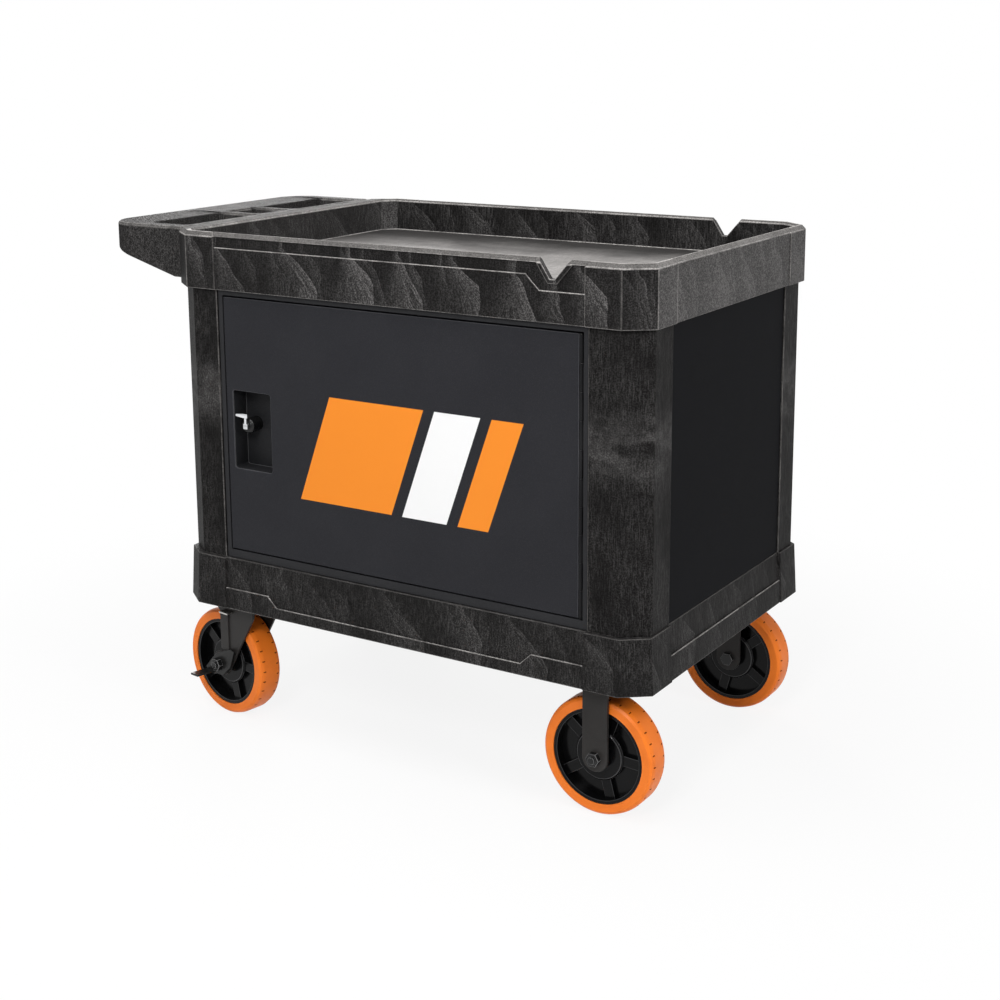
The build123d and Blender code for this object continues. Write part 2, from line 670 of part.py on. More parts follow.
# Latch pocket: a pressed cup with a lip behind the skin.
with BuildPart() as latch_pocket:
    with BuildSketch(front(SHEET - FACE_Y)):
        with Locations(CUP_MIDDLE):
            RectangleRounded(CUP_L + 2 * CUP_LIP, CUP_H + 2 * CUP_LIP, CUP_R)
    extrude(amount=-SHEET)
    with BuildSketch(front(SHEET - FACE_Y)):
        with Locations(CUP_MIDDLE):
            RectangleRounded(CUP_L + 2 * SHEET, CUP_H + 2 * SHEET, CUP_R + SHEET)
    extrude(amount=-CUP_DEPTH)
    with BuildSketch(front(SHEET - FACE_Y)):
        with Locations(CUP_MIDDLE):
            RectangleRounded(CUP_L, CUP_H, CUP_R)
    extrude(amount=SHEET - CUP_DEPTH, mode=Mode.SUBTRACT)
    with BuildSketch(front(CUP_BACK)):
        with Locations((LATCH_X, LATCH_Z)):
            Circle(LATCH_SHAFT_R + FREE)
    extrude(amount=-SHEET, mode=Mode.SUBTRACT)
save(latch_pocket.part, "latch_pocket")

# Lock body: a round boss on the pocket's back wall that the handle's shaft turns in.
with BuildPart() as lock_body:
    with BuildSketch(front(CUP_BACK)):
        with Locations((LATCH_X, LATCH_Z)):
            Circle(LOCK_R)
            Circle(LATCH_SHAFT_R + RUN_FIT, mode=Mode.SUBTRACT)
    extrude(amount=LOCK_H)
    front_edges = lock_body.edges().filter_by(GeomType.CIRCLE).group_by(Axis.Y)[0]
    chamfer(front_edges.sort_by(SortBy.RADIUS)[-1], LOCK_BEVEL)
save(lock_body.part, "lock_body")

# Latch handle: a plated lever, an upright arm on the shaft with a finger bar pointing to the free edge.
bar_z = LATCH_Z + LEVER_RISE

with BuildPart() as latch_handle:
    with BuildSketch(front(SHAFT_BACK)):
        with Locations((LATCH_X, LATCH_Z)):
            Circle(LATCH_SHAFT_R)
    extrude(amount=SHAFT_BACK - LOCK_FACE + FREE + LEVER_T / 2)
    with BuildSketch(front(LOCK_FACE - FREE)):
        with Locations((LATCH_X, LATCH_Z)):
            RectangleRounded(LEVER_HUB, LEVER_HUB, LEVER_HUB / 6)
        with Locations((LATCH_X, LATCH_Z + LEVER_RISE / 2)):
            Rectangle(LEVER_HUB / 2, LEVER_RISE)
        with BuildLine():
            Polyline(
                (LATCH_X - LEVER_BAR, bar_z - LEVER_BAR_H / 4),
                (LATCH_X - LEVER_BAR, bar_z + LEVER_BAR_H / 4),
                (LATCH_X - LEVER_HUB / 2, bar_z + LEVER_BAR_H / 2),
                (LATCH_X + LEVER_HUB / 2, bar_z + LEVER_BAR_H / 2),
                (LATCH_X + LEVER_HUB / 2, bar_z - LEVER_BAR_H / 2),
                (LATCH_X - LEVER_HUB / 2, bar_z - LEVER_BAR_H / 2),
                close=True,
            )
        make_face()
    extrude(amount=LEVER_T)
save(latch_handle.part, "latch_handle")

# Latch cam: a crank on the shaft behind the pocket, whose pin drives the bolt.
crank = (LATCH_X + CRANK_STEP, LATCH_Z - CRANK_STEP)

with BuildPart() as latch_cam:
    with BuildSketch(front(CAM_FACE)):
        with BuildLine():
            Line((LATCH_X, LATCH_Z), crank)
        trace(line_width=2 * (CRANK_PIN_R + CRANK_RIM))
        with Locations((LATCH_X, LATCH_Z)):
            Circle(LATCH_SHAFT_R + CAM_HUB)
        with Locations(crank):
            Circle(CRANK_PIN_R + CRANK_RIM)
        with Locations((LATCH_X, LATCH_Z)):
            Circle(LATCH_SHAFT_R, mode=Mode.SUBTRACT)
    extrude(amount=-CAM_T)
    with BuildSketch(front(CAM_FACE)):
        with Locations(crank):
            Circle(CRANK_PIN_R)
    extrude(amount=BOLT_T)
save(latch_cam.part, "latch_cam")

# Latch bolt: a flat bar that the cam throws behind the frame's flange; an open slot takes the cam's pin.
bolt_left = DOOR_X[0] + BOLT_BACK
bolt_right = LATCH_X + GUIDE_REACH + GUIDE_W / 2 + BOLT_THROW
bolt_middle = (BOLT_LOW + BOLT_TOP) / 2
bolt_h = BOLT_TOP - BOLT_LOW

with BuildPart() as latch_bolt:
    with BuildSketch(front(BOLT_FACE)):
        with Locations(((bolt_left + bolt_right) / 2, bolt_middle)):
            Rectangle(bolt_right - bolt_left, bolt_h)
        with Locations((crank[0], BOLT_TOP)):
            Rectangle(2 * (CRANK_PIN_R + CRANK_PLAY), 2 * (BOLT_TOP - BOLT_SLOT), mode=Mode.SUBTRACT)
    extrude(amount=-BOLT_T)
save(latch_bolt.part, "latch_bolt")

# Bolt guides: two straps over the bolt, fixed to the back of the pocket.
guide_places = [(LATCH_X + side * GUIDE_REACH, bolt_middle) for side in (-1, 1)]

with BuildPart() as bolt_guides:
    with BuildSketch(front(CUP_BACK + SHEET)):
        with Locations(*guide_places):
            Rectangle(GUIDE_W, bolt_h + 2 * (FREE + SHEET))
    extrude(amount=-BOLT_T - 2 * FREE - SHEET)
    with BuildSketch(front(CUP_BACK + SHEET)):
        with Locations(*guide_places):
            Rectangle(GUIDE_W, bolt_h + 2 * (FREE + GUIDE_FOOT))
    extrude(amount=-SHEET)
    with BuildSketch(front(CUP_BACK + SHEET)):
        with Locations(*guide_places):
            Rectangle(GUIDE_W, bolt_h + 2 * FREE)
    extrude(amount=-BOLT_T - 2 * FREE, mode=Mode.SUBTRACT)
save(bolt_guides.part, "bolt_guides")

# Continuous hinge: two leaves with interleaved knuckles on one pin, set in the gap at the door's right edge.
knuckle_l = door_h / KNUCKLES


def hinge_leaf(first, middle, bore):
    """One leaf: a plate whose middle is at x = middle, with every second knuckle from the first."""
    plate_front = HINGE_Y + KNUCKLE_R + FREE
    plate_back = HINGE_Y + LEAF_DEPTH
    with BuildPart() as leaf:
        with Locations((BODY_X + middle, (plate_front + plate_back) / 2, door_middle[1])):
            Box(LEAF_T, plate_back - plate_front, door_h)
        for k in range(first, KNUCKLES, 2):
            z = DOOR_Z[0] + (k + 0.5) * knuckle_l
            with Locations((BODY_X + middle, (HINGE_Y + plate_front) / 2, z)):
                Box(LEAF_T, plate_front - HINGE_Y, knuckle_l - KNUCKLE_GAP)
            with Locations((BODY_X + HINGE_X, HINGE_Y, z)):
                Cylinder(KNUCKLE_R, knuckle_l - KNUCKLE_GAP)
        with Locations((BODY_X + HINGE_X, HINGE_Y, door_middle[1])):
            Cylinder(bore, door_h, mode=Mode.SUBTRACT)
    return leaf.part


save(hinge_leaf(0, OPENING_X[1] - LEAF_T / 2, HINGE_PIN_R + RUN_FIT / 2), "frame_hinge_leaf")
save(hinge_leaf(1, DOOR_X[1] + LEAF_T / 2, HINGE_PIN_R + RUN_FIT), "door_hinge_leaf")

with BuildPart() as hinge_pin:
    with Locations((BODY_X + HINGE_X, HINGE_Y, door_middle[1])):
        Cylinder(HINGE_PIN_R, door_h)
save(hinge_pin.part, "hinge_pin")

# Caster bolts: four to a plate, screwed up into the shelf's bosses.
with BuildPart() as caster_bolts:
    with BuildSketch(level(PLATE_LOW)):
        with GridLocations(2 * CASTER_X, 2 * CASTER_Y, 2, 2):
            with GridLocations(PLATE_HOLE_X, PLATE_HOLE_Y, 2, 2):
                Circle(CASTER_BOLT_R)
    extrude(amount=PLATE_T + CASTER_BOLT_UP)
    with BuildSketch(level(PLATE_LOW)):
        with GridLocations(2 * CASTER_X, 2 * CASTER_Y, 2, 2):
            with GridLocations(PLATE_HOLE_X, PLATE_HOLE_Y, 2, 2):
                RegularPolygon(CASTER_BOLT_AF / 2, 6, major_radius=False)
    extrude(amount=-CASTER_BOLT_HEAD)
save(caster_bolts.part, "caster_bolts")

# Tyre, made like every wheel piece on its own axis: z along the axle, y up, the origin in the wheel's middle.
with BuildPart() as tyre:
    with BuildSketch(Plane.XZ):
        with BuildLine():
            Polyline(
                (TYRE_BORE, 0),
                (TYRE_BORE, WHEEL_W / 2),
                (WHEEL_R - TYRE_SHOULDER, WHEEL_W / 2),
                (WHEEL_R - TYRE_SHOULDER / 3, WHEEL_W / 2 - TYRE_SHOULDER / 2),
                (WHEEL_R, WHEEL_W / 2 - 1.6 * TYRE_SHOULDER),
                (WHEEL_R, 0),
            )
            mirror(about=Plane.XZ)
        make_face()
    revolve(axis=Axis.Z)

# Hub: a rim, a thin web with five ribs, a raised disc and a boss that runs on the sleeve.
rim_in = TYRE_BORE - HUB_RIM_T
rim_half = WHEEL_W / 2 - HUB_RIM_SET
hub_bore = SLEEVE_R + RUN_FIT

with BuildPart() as hub:
    with BuildSketch(Plane.XZ):
        with BuildLine():
            Polyline(
                (hub_bore, 0),
                (hub_bore, FORK_GAP - HUB_PLAY),
                (HUB_BOSS_R, FORK_GAP - HUB_PLAY),
                (HUB_BOSS_R, HUB_DISC_HALF),
                (HUB_DISC_R - HUB_BEVEL, HUB_DISC_HALF),
                (HUB_DISC_R, HUB_DISC_HALF - HUB_BEVEL),
                (HUB_DISC_R, HUB_WEB_HALF),
                (rim_in, HUB_WEB_HALF),
                (rim_in, rim_half),
                (TYRE_BORE, rim_half),
                (TYRE_BORE, 0),
            )
            mirror(about=Plane.XZ)
        make_face()
    revolve(axis=Axis.Z)
    with BuildSketch(Plane.XY.offset(-SPOKE_HALF)):
        with PolarLocations((HUB_DISC_R + rim_in) / 2, SPOKES, start_angle=SPOKE_START):
            Rectangle(rim_in - HUB_DISC_R + 2 * HUB_BEVEL, SPOKE_W)
    extrude(amount=2 * SPOKE_HALF)

# Sleeve: a steel tube that the fork clamps and the hub turns on.
with BuildPart() as sleeve:
    Cylinder(SLEEVE_R, 2 * FORK_GAP)
    Cylinder(AXLE_R + FIXED_FIT, 2 * FORK_GAP, mode=Mode.SUBTRACT)


# Axle bolts and nuts, for either kind of fork.
def axle(nut_low):
    """Axle bolt with its head at -z, long enough for a nut that starts at nut_low."""
    with BuildPart() as bolt:
        with BuildSketch(Plane.XY.offset(-FORK_OUT)):
            Circle(AXLE_R)
        extrude(amount=FORK_OUT + nut_low + NUT_H + AXLE_TIP)
        with BuildSketch(Plane.XY.offset(-FORK_OUT)):
            RegularPolygon(NUT_AF / 2, 6, major_radius=False)
        extrude(amount=-AXLE_HEAD)
    return bolt.part


def axle_nut(nut_low):
    """Hexagon nut, clear of the thread."""
    with BuildPart() as nut:
        with BuildSketch(Plane.XY.offset(nut_low)):
            RegularPolygon(NUT_AF / 2, 6, major_radius=False)
            Circle(AXLE_R + FIXED_FIT / 2, mode=Mode.SUBTRACT)
        extrude(amount=NUT_H)
    return nut.part


# Rigid fork: a plate with two straight legs, each with a raised swage that ends above the axle.
leg_top = PLATE_LOW - WHEEL_R

with BuildPart() as rigid_fork:
    with BuildSketch(Plane.XZ.offset(-leg_top)):
        Rectangle(PLATE_L, PLATE_W)
        with GridLocations(PLATE_HOLE_X, PLATE_HOLE_Y, 2, 2):
            Circle(CASTER_BOLT_R + FIXED_FIT, mode=Mode.SUBTRACT)
    extrude(amount=-PLATE_T)
    for side in (-1, 1):
        with BuildSketch(Plane.XY.offset(side * FORK_GAP)):
            Circle(LEG_HALF)
            with Locations((0, leg_top / 2)):
                Rectangle(2 * LEG_HALF, leg_top)
            Circle(AXLE_R + FIXED_FIT, mode=Mode.SUBTRACT)
        extrude(amount=side * FORK_T)
        with BuildSketch(Plane.XY.offset(side * FORK_OUT)):
            with Locations((SWAGE_IN / 2, (SWAGE_LOW + leg_top) / 2)):
                swage = Rectangle(2 * LEG_HALF - SWAGE_IN, leg_top - SWAGE_LOW)
            fillet(swage.vertices().group_by(Axis.Y)[0].sort_by(Axis.X)[0], SWAGE_R)
        extrude(amount=side * SWAGE)

# Swivel fork: a crown round the kingpin, and two legs swept back to the axle, the outer one with a strap.
crown_low = CROWN_LOW - WHEEL_R
crown_top = CROWN_TOP - WHEEL_R
strap_top = crown_low - STRAP_SET


def swivel_fork(lead):
    """Fork in wheel coordinates, with the kingpin ahead at lead * TRAIL and the strap on the outer leg."""
    ahead = TRAIL + CROWN_HALF
    behind = TRAIL - CROWN_HALF
    with BuildPart() as fork:
        with BuildSketch(Plane.XZ.offset(-crown_top)):
            with Locations((lead * TRAIL, 0)):
                Rectangle(2 * CROWN_HALF, 2 * FORK_OUT)
                Circle(KINGPIN_R + RUN_FIT, mode=Mode.SUBTRACT)
        extrude(amount=CROWN_T)
        for side in (-1, 1):
            with BuildSketch(Plane.XY.offset(side * FORK_GAP)):
                with BuildLine():
                    Polyline(
                        (lead * LEG_BACK, 0),
                        (lead * LEG_FRONT[0], LEG_FRONT[1]),
                        (lead * ahead, crown_low - LEG_HEAD[0]),
                        (lead * ahead, crown_top),
                        (lead * behind, crown_top),
                        (lead * behind, crown_low - LEG_HEAD[1]),
                        (lead * LEG_BACK, crown_low - LEG_HEAD[2]),
                        close=True,
                    )
                make_face()
                Circle(LEG_BOSS_R)
                Circle(AXLE_R + FIXED_FIT, mode=Mode.SUBTRACT)
            extrude(amount=side * FORK_T)
        with BuildSketch(Plane.XY.offset(FORK_OUT)):
            with Locations((lead * (LEG_BACK + STRAP_L / 2), (STRAP_LOW + strap_top) / 2)):
                Rectangle(STRAP_L, strap_top - STRAP_LOW)
        extrude(amount=STRAP_T)
    return fork.part


# Swivel lock tab: a small plated tongue at the head of the strap.
def lock_tab(lead):
    """Tab in wheel coordinates, standing out from the fork's outer leg."""
    with BuildPart() as tab:
        with Locations((lead * (LEG_BACK + STRAP_L), strap_top + LOCK_TAB_T, FORK_OUT + LOCK_TAB_W / 2)):
            Box(LOCK_TAB_L, LOCK_TAB_T, LOCK_TAB_W)
    return tab.part


# Brake lever: a plate that turns on the axle outside the fork, with a foot pad bent outwards.
def brake_lever(lead):
    """Lever in wheel coordinates, with its pad on the trailing side."""
    foot = min(y for x, y in BRAKE_PLATE)
    with BuildPart() as lever:
        with BuildSketch(Plane.XY.offset(BRAKE_LOW)):
            with BuildLine():
                Polyline(*[(lead * x, y) for x, y in BRAKE_PLATE], close=True)
            make_face()
            Circle(AXLE_R + RUN_FIT, mode=Mode.SUBTRACT)
        extrude(amount=BRAKE_T)
        with BuildSketch(Plane((0, foot, BRAKE_LOW), x_dir=(1, 0, 0), z_dir=(0, -1, 0))):
            with BuildLine():
                Polyline(*[(lead * x, y) for x, y in BRAKE_PAD], close=True)
            make_face()
        extrude(amount=-BRAKE_T)
    return lever.part


def wheel_place(x, y, yaw, side):
    """Place of a wheel's centre: z out of its outer face, y up."""
    out = Vector(0, side, 0).rotate(Axis.Z, yaw)
    along = Vector(-side, 0, 0).rotate(Axis.Z, yaw)
    return Plane((BODY_X + x, y, WHEEL_R), x_dir=along, z_dir=out).location


# Rigid casters under the right end.
for name, side in (("front", -1), ("rear", 1)):
    place = wheel_place(CASTER_X, side * CASTER_Y, 0, side)
    save(rigid_fork.part.moved(place), f"{name}_rigid_fork")
    save(axle(FORK_OUT).moved(place), f"{name}_rigid_axle")
    save(axle_nut(FORK_OUT).moved(place), f"{name}_rigid_nut")
    save(sleeve.part.moved(place), f"{name}_rigid_sleeve")
    save(hub.part.moved(place), f"{name}_rigid_hub")
    save(tyre.part.moved(place), f"{name}_rigid_tyre")

# Swivel casters under the handle end, trailing towards the handle.
swivel_nut = BRAKE_LOW + BRAKE_T + FIXED_FIT

for name, side, yaw in (("front", -1, FRONT_YAW), ("rear", 1, REAR_YAW)):
    lead = -side
    pivot = (-CASTER_X, side * CASTER_Y)
    place = wheel_place(
        pivot[0] - TRAIL * cos(radians(yaw)), pivot[1] - TRAIL * sin(radians(yaw)), yaw, side
    )
    with BuildPart() as swivel_plate:
        with BuildSketch(level(PLATE_LOW)):
            with Locations(pivot):
                Rectangle(PLATE_L, PLATE_W)
                Circle(KINGPIN_R + FIXED_FIT, mode=Mode.SUBTRACT)
                with GridLocations(PLATE_HOLE_X, PLATE_HOLE_Y, 2, 2):
                    Circle(CASTER_BOLT_R + FIXED_FIT, mode=Mode.SUBTRACT)
        extrude(amount=PLATE_T)
    save(swivel_plate.part, f"{name}_swivel_plate")
    with BuildPart() as swivel_race:
        with BuildSketch(level(PLATE_LOW)):
            with Locations(pivot):
                Circle(RACE_R[1])
                Circle(RACE_R[0], mode=Mode.SUBTRACT)
        extrude(amount=-RACE_H)
    save(swivel_race.part, f"{name}_swivel_race")
    with BuildPart() as swivel_kingpin:
        with BuildSketch(level(CASTER_H)):
            with Locations(pivot):
                Circle(KINGPIN_R)
        extrude(amount=CROWN_LOW - FREE - CASTER_H)
        with BuildSketch(level(CROWN_LOW - FREE)):
            with Locations(pivot):
                RegularPolygon(KINGPIN_NUT_R, 6, major_radius=False)
        extrude(amount=-KINGPIN_NUT_H)
    save(swivel_kingpin.part, f"{name}_swivel_kingpin")
    save(swivel_fork(lead).moved(place), f"{name}_swivel_fork")
    save(lock_tab(lead).moved(place), f"{name}_lock_tab")
    save(axle(swivel_nut).moved(place), f"{name}_swivel_axle")
    save(axle_nut(swivel_nut).moved(place), f"{name}_swivel_nut")
    save(sleeve.part.moved(place), f"{name}_swivel_sleeve")
    save(hub.part.moved(place), f"{name}_swivel_hub")
    save(tyre.part.moved(place), f"{name}_swivel_tyre")
    save(brake_lever(lead).moved(place), f"{name}_brake_lever")
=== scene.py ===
import bmesh
import bpy
import json
from math import atan2, pi, radians
from mathutils import Matrix, Vector

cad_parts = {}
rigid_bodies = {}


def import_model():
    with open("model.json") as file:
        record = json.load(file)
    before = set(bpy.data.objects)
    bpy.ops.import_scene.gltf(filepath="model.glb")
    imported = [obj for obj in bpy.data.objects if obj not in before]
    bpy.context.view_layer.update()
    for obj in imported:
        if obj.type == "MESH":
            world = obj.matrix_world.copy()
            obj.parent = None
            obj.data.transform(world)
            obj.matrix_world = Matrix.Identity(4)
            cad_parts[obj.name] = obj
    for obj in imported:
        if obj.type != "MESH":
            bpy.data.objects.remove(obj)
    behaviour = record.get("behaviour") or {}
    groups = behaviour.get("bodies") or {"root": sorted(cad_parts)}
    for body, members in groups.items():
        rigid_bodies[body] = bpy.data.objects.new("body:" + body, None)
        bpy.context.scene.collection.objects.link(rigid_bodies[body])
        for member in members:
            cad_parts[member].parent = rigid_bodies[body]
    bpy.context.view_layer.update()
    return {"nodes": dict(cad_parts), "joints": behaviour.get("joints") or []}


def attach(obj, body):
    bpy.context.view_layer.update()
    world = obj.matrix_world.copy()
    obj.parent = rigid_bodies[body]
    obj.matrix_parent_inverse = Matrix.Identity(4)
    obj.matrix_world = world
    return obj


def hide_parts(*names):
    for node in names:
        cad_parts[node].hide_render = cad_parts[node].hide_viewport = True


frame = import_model()
bpy.context.scene.view_settings.view_transform = "Standard"

# Lower shelf: one large structural foam moulding with a drafted skirt and flat-cut corners.
# The foam sets in a cool mould, so its near-black skin shows paler flow fans where the melt
# fronts met, with fine hair lines in each fan, and its edges rub to a light brown-grey that also
# carries a painted highlight, palest where the edges face up.
FOAM_DARK = (0.0043, 0.0040, 0.0039, 1)
FOAM_PALE = (0.158, 0.152, 0.150, 1)
FOAM_PALEST = (0.45, 0.43, 0.415, 1)
FOAM_ROUGHNESS = 0.6
SPECK_SCALE = 430.0
MIX_FIRST, MIX_SECOND = 6, 7


def shader(tree, kind, settings=None, inputs=None):
    """A shader node with its settings made and its sockets set or linked."""
    made = tree.nodes.new("ShaderNode" + kind)
    for key, value in (settings or {}).items():
        setattr(made, key, value)
    for key, value in (inputs or {}).items():
        if isinstance(value, bpy.types.NodeSocket):
            tree.links.new(value, made.inputs[key])
        else:
            made.inputs[key].default_value = value
    return made


def sums(tree, operation, first, second=0.0):
    """The result of one arithmetic step."""
    return shader(tree, "Math", {"operation": operation}, {0: first, 1: second}).outputs[0]


def scaled(tree, value, factor, offset=0.0):
    """A value times a factor, plus an offset."""
    return sums(tree, "ADD", sums(tree, "MULTIPLY", value, factor), offset)


def ramp(tree, value, low, high):
    """A smooth rise from 0 at low to 1 at high."""
    limits = {"Value": value, "From Min": low, "From Max": high}
    return shader(tree, "MapRange", {"interpolation_type": "SMOOTHSTEP"}, limits).outputs["Result"]


def split_axes(tree, vector):
    """The x, y and z of a vector."""
    return shader(tree, "SeparateXYZ", None, {0: vector}).outputs


def facing_axes(tree):
    """The x, y and z of the way that a face looks."""
    return split_axes(tree, shader(tree, "NewGeometry").outputs["True Normal"])


def blend_colour(tree, share, first, second):
    """A colour between two others."""
    values = {"Factor": share, MIX_FIRST: first, MIX_SECOND: second}
    return shader(tree, "Mix", {"data_type": "RGBA"}, values).outputs[2]


def cloud(tree, place, scale, detail=3.0, roughness=0.5):
    """Soft noise between 0 and 1; a scale of three numbers stretches it."""
    if isinstance(scale, tuple):
        place = shader(tree, "Mapping", None, {"Vector": place, "Scale": scale}).outputs[0]
        scale = 1.0
    values = {"Vector": place, "Scale": scale, "Detail": detail, "Roughness": roughness}
    return shader(tree, "TexNoise", None, values).outputs["Fac"]


def wander(tree, place, width, scale, detail, roughness=0.5):
    """Soft noise that strays by half a width to both sides of 0."""
    return scaled(tree, cloud(tree, place, scale, detail, roughness), width, -width / 2)


def new_surface(name, roughness, gloss, metallic=0.0):
    """A material, its node tree and the place on the piece that its patterns follow."""
    material = bpy.data.materials.new(name)
    material.use_nodes = True
    tree = material.node_tree
    surface = tree.nodes["Principled BSDF"].inputs
    surface["Roughness"].default_value = roughness
    surface["Specular IOR Level"].default_value = gloss
    surface["Metallic"].default_value = metallic
    return material, tree, shader(tree, "TexCoord").outputs["Object"]


def feed(tree, socket, value):
    """Links a value to a socket of the surface shader."""
    tree.links.new(value, tree.nodes["Principled BSDF"].inputs[socket])


def bumped(tree, height, strength, depth):
    """Gives the surface a fine relief."""
    values = {"Height": height, "Strength": strength, "Distance": depth}
    feed(tree, "Normal", shader(tree, "Bump", None, values).outputs["Normal"])


FAN_SCATTER = 0.6
FAN_LEAN = (-0.5, 0.05)
FAN_SWELL = 0.65
FAN_FLANK = (0.48, 0.06)
FAN_FADE = 1.6
FAN_EDGE = 0.97
GATE_SCATTER = 0.25
HAIR_SCALE = (44.0, 22.0, 30.0)


def flow_fans(tree, run, rise, width, gate, phase, weight):
    """A row of fans, each with hair lines that brighten towards a thin line at its right flank."""
    cells = {"W": scaled(tree, run, 1.0 / width, phase), "Scale": 1.0, "Randomness": FAN_SCATTER}
    fan = shader(tree, "TexVoronoi", {"voronoi_dimensions": "1D", "feature": "F1"}, cells).outputs
    chance = shader(tree, "SeparateColor", None, {0: fan["Color"]}).outputs
    depth = sums(tree, "SUBTRACT", scaled(tree, chance[1], -GATE_SCATTER * gate, gate), rise)
    depth = sums(tree, "MAXIMUM", depth, 0.0005)
    across = scaled(tree, sums(tree, "SUBTRACT", cells["W"], fan["W"]), width)
    lean = sums(tree, "MULTIPLY", depth, scaled(tree, chance[2], *FAN_LEAN))
    across = sums(tree, "ADD", across, lean)
    flank = sums(tree, "POWER", scaled(tree, depth, 1.0 / gate), FAN_SWELL)
    flank = scaled(tree, flank, FAN_FLANK[0] * width, FAN_FLANK[1] * width)
    reach = sums(tree, "DIVIDE", across, flank)
    spread = sums(tree, "ARCTAN2", across, scaled(tree, depth, 1.0, 0.012))
    ways = zip((spread, rise, chance[2]), HAIR_SCALE)
    lines = {axis: scaled(tree, way, scale) for axis, (way, scale) in enumerate(ways)}
    lines = shader(tree, "CombineXYZ", None, lines).outputs[0]
    hair = ramp(tree, cloud(tree, lines, 1.0, detail=4.0, roughness=0.75), 0.4, 0.64)
    body = sums(tree, "POWER", ramp(tree, reach, -1.1, 0.95), FAN_FADE)
    body = sums(tree, "MULTIPLY", body, scaled(tree, hair, 1.0, 0.15))
    line = ramp(tree, sums(tree, "ABSOLUTE", sums(tree, "SUBTRACT", reach, FAN_EDGE)), 0.06, 0.0)
    mark = sums(tree, "MULTIPLY", body, ramp(tree, reach, FAN_EDGE + 0.06, FAN_EDGE + 0.01))
    mark = sums(tree, "ADD", mark, scaled(tree, line, 0.45))
    return sums(tree, "MULTIPLY", mark, scaled(tree, chance[0], 0.6 * weight, 0.4 * weight))


FAN_ROWS = ((1.0, 1.0), (0.57, 0.55))
GRAIN_SCALE = (520.0, 520.0, 48.0)
SHADE_SCALE = (13.0, 13.0, 8.0)
TOP_SCUFF_SCALE = (90.0, 40.0, 1.0)
CUT_CORNER_KEPT = 0.55
FOAM_BUMP = 0.0005


def structural_foam(name, pitch, foot, gate, fans, grain, base=0.0, end_light=0.0, tops=0.0,
                    overlay=None, phase=7.3, gloss=0.05):
    """Near-black foam with pale flow fans that spread down from gates above its foot.

    The fans stand a pitch apart. The values from fans to tops say how pale the fans, the upright
    grain, the whole skin, the faces that look towards the right end (painted light) and the upper
    faces are. An overlay adds to that.
    """
    material, tree, place = new_surface(name, FOAM_ROUGHNESS, gloss)
    split = split_axes(tree, place)
    rise = sums(tree, "SUBTRACT", split[2], foot)
    drift = wander(tree, place, 0.05, scale=11.0, detail=1.0)
    run = sums(tree, "ADD", sums(tree, "ADD", split[0], split[1]), drift)
    speck = ramp(tree, cloud(tree, place, SPECK_SCALE, detail=2.5, roughness=0.7), 0.42, 0.66)
    upright = ramp(tree, cloud(tree, place, GRAIN_SCALE, detail=4.0, roughness=0.75), 0.45, 0.72)
    shade = ramp(tree, cloud(tree, place, SHADE_SCALE, detail=3.0, roughness=0.6), 0.3, 0.7)
    scuff = ramp(tree, cloud(tree, place, TOP_SCUFF_SCALE, detail=4.0, roughness=0.7), 0.4, 0.62)
    marks = 0.0
    for size, weight in FAN_ROWS:
        row = flow_fans(tree, run, rise, pitch * size, gate, phase * size, weight)
        marks = sums(tree, "MAXIMUM", marks, row)
    facing = facing_axes(tree)
    turned = sums(tree, "ABSOLUTE", facing[0])
    turned = sums(tree, "MULTIPLY", ramp(tree, turned, 0.2, 0.45), ramp(tree, turned, 0.95, 0.85))
    # Painted light: faces that look towards the right end are made paler, as if lit more from that
    # side.
    painted_end_light = scaled(tree, ramp(tree, facing[0], 0.6, 0.95), end_light, base)
    top_share = scaled(tree, scuff, 1.1 * tops, 0.5 * tops)
    top_share = sums(tree, "MULTIPLY", ramp(tree, facing[2], 0.3, 0.8), top_share)
    share = sums(tree, "ADD", scaled(tree, marks, fans), sums(tree, "ADD", painted_end_light, top_share))
    share = sums(tree, "MULTIPLY", share, scaled(tree, turned, -CUT_CORNER_KEPT, 1.0))
    share = sums(tree, "MULTIPLY", share, scaled(tree, speck, 1.1, 0.4))
    skin = sums(tree, "ADD", scaled(tree, upright, grain), scaled(tree, speck, 0.1))
    share = sums(tree, "ADD", share, sums(tree, "MULTIPLY", skin, scaled(tree, shade, 1.1, 0.45)))
    if overlay:
        share = overlay(tree, share, place, speck, turned)
    feed(tree, "Base Color", blend_colour(tree, share, FOAM_DARK, FOAM_PALE))
    feed(tree, "Roughness", scaled(tree, speck, 0.18, 0.5))
    bumped(tree, sums(tree, "ADD", upright, speck), 0.35, FOAM_BUMP)
    return material


def rubbed_highlit_foam(name, wear_and_light, even, gloss=0.1):
    """The foam's rubbed edges with a painted highlight, palest where they face up, in patches or more
    evenly.
    """
    material, tree, place = new_surface(name, FOAM_ROUGHNESS, gloss)
    patch = ramp(tree, cloud(tree, place, 30.0, detail=5.0, roughness=0.7), 0.34, 0.62)
    speck = ramp(tree, cloud(tree, place, SPECK_SCALE, detail=2.0, roughness=0.6), 0.3, 0.7)
    # Painted highlight: edges that face up are made paler, as if lit from above.
    up = scaled(tree, ramp(tree, facing_axes(tree)[2], -0.1, 0.6), 0.55 * wear_and_light, 0.45 * wear_and_light)
    share = sums(tree, "MULTIPLY", scaled(tree, patch, 1.0 - even, even), up)
    share = sums(tree, "MULTIPLY", share, scaled(tree, speck, 0.6, 0.5))
    feed(tree, "Base Color", blend_colour(tree, share, FOAM_DARK, FOAM_PALEST))
    return material


def face_depth(face, side):
    """How far a face reaches from one of its edges."""
    foot = side.verts[0].co
    run = (side.verts[1].co - foot).normalized()
    return max((corner.co - foot).cross(run).length for corner in face.verts)


SKIN, EDGE, SEAM = range(3)
MERGE_GAP = 1e-6
FLAT_ANGLE = radians(0.5)
SHARP_ANGLE = radians(25)
SMOOTH_ANGLE = radians(35)


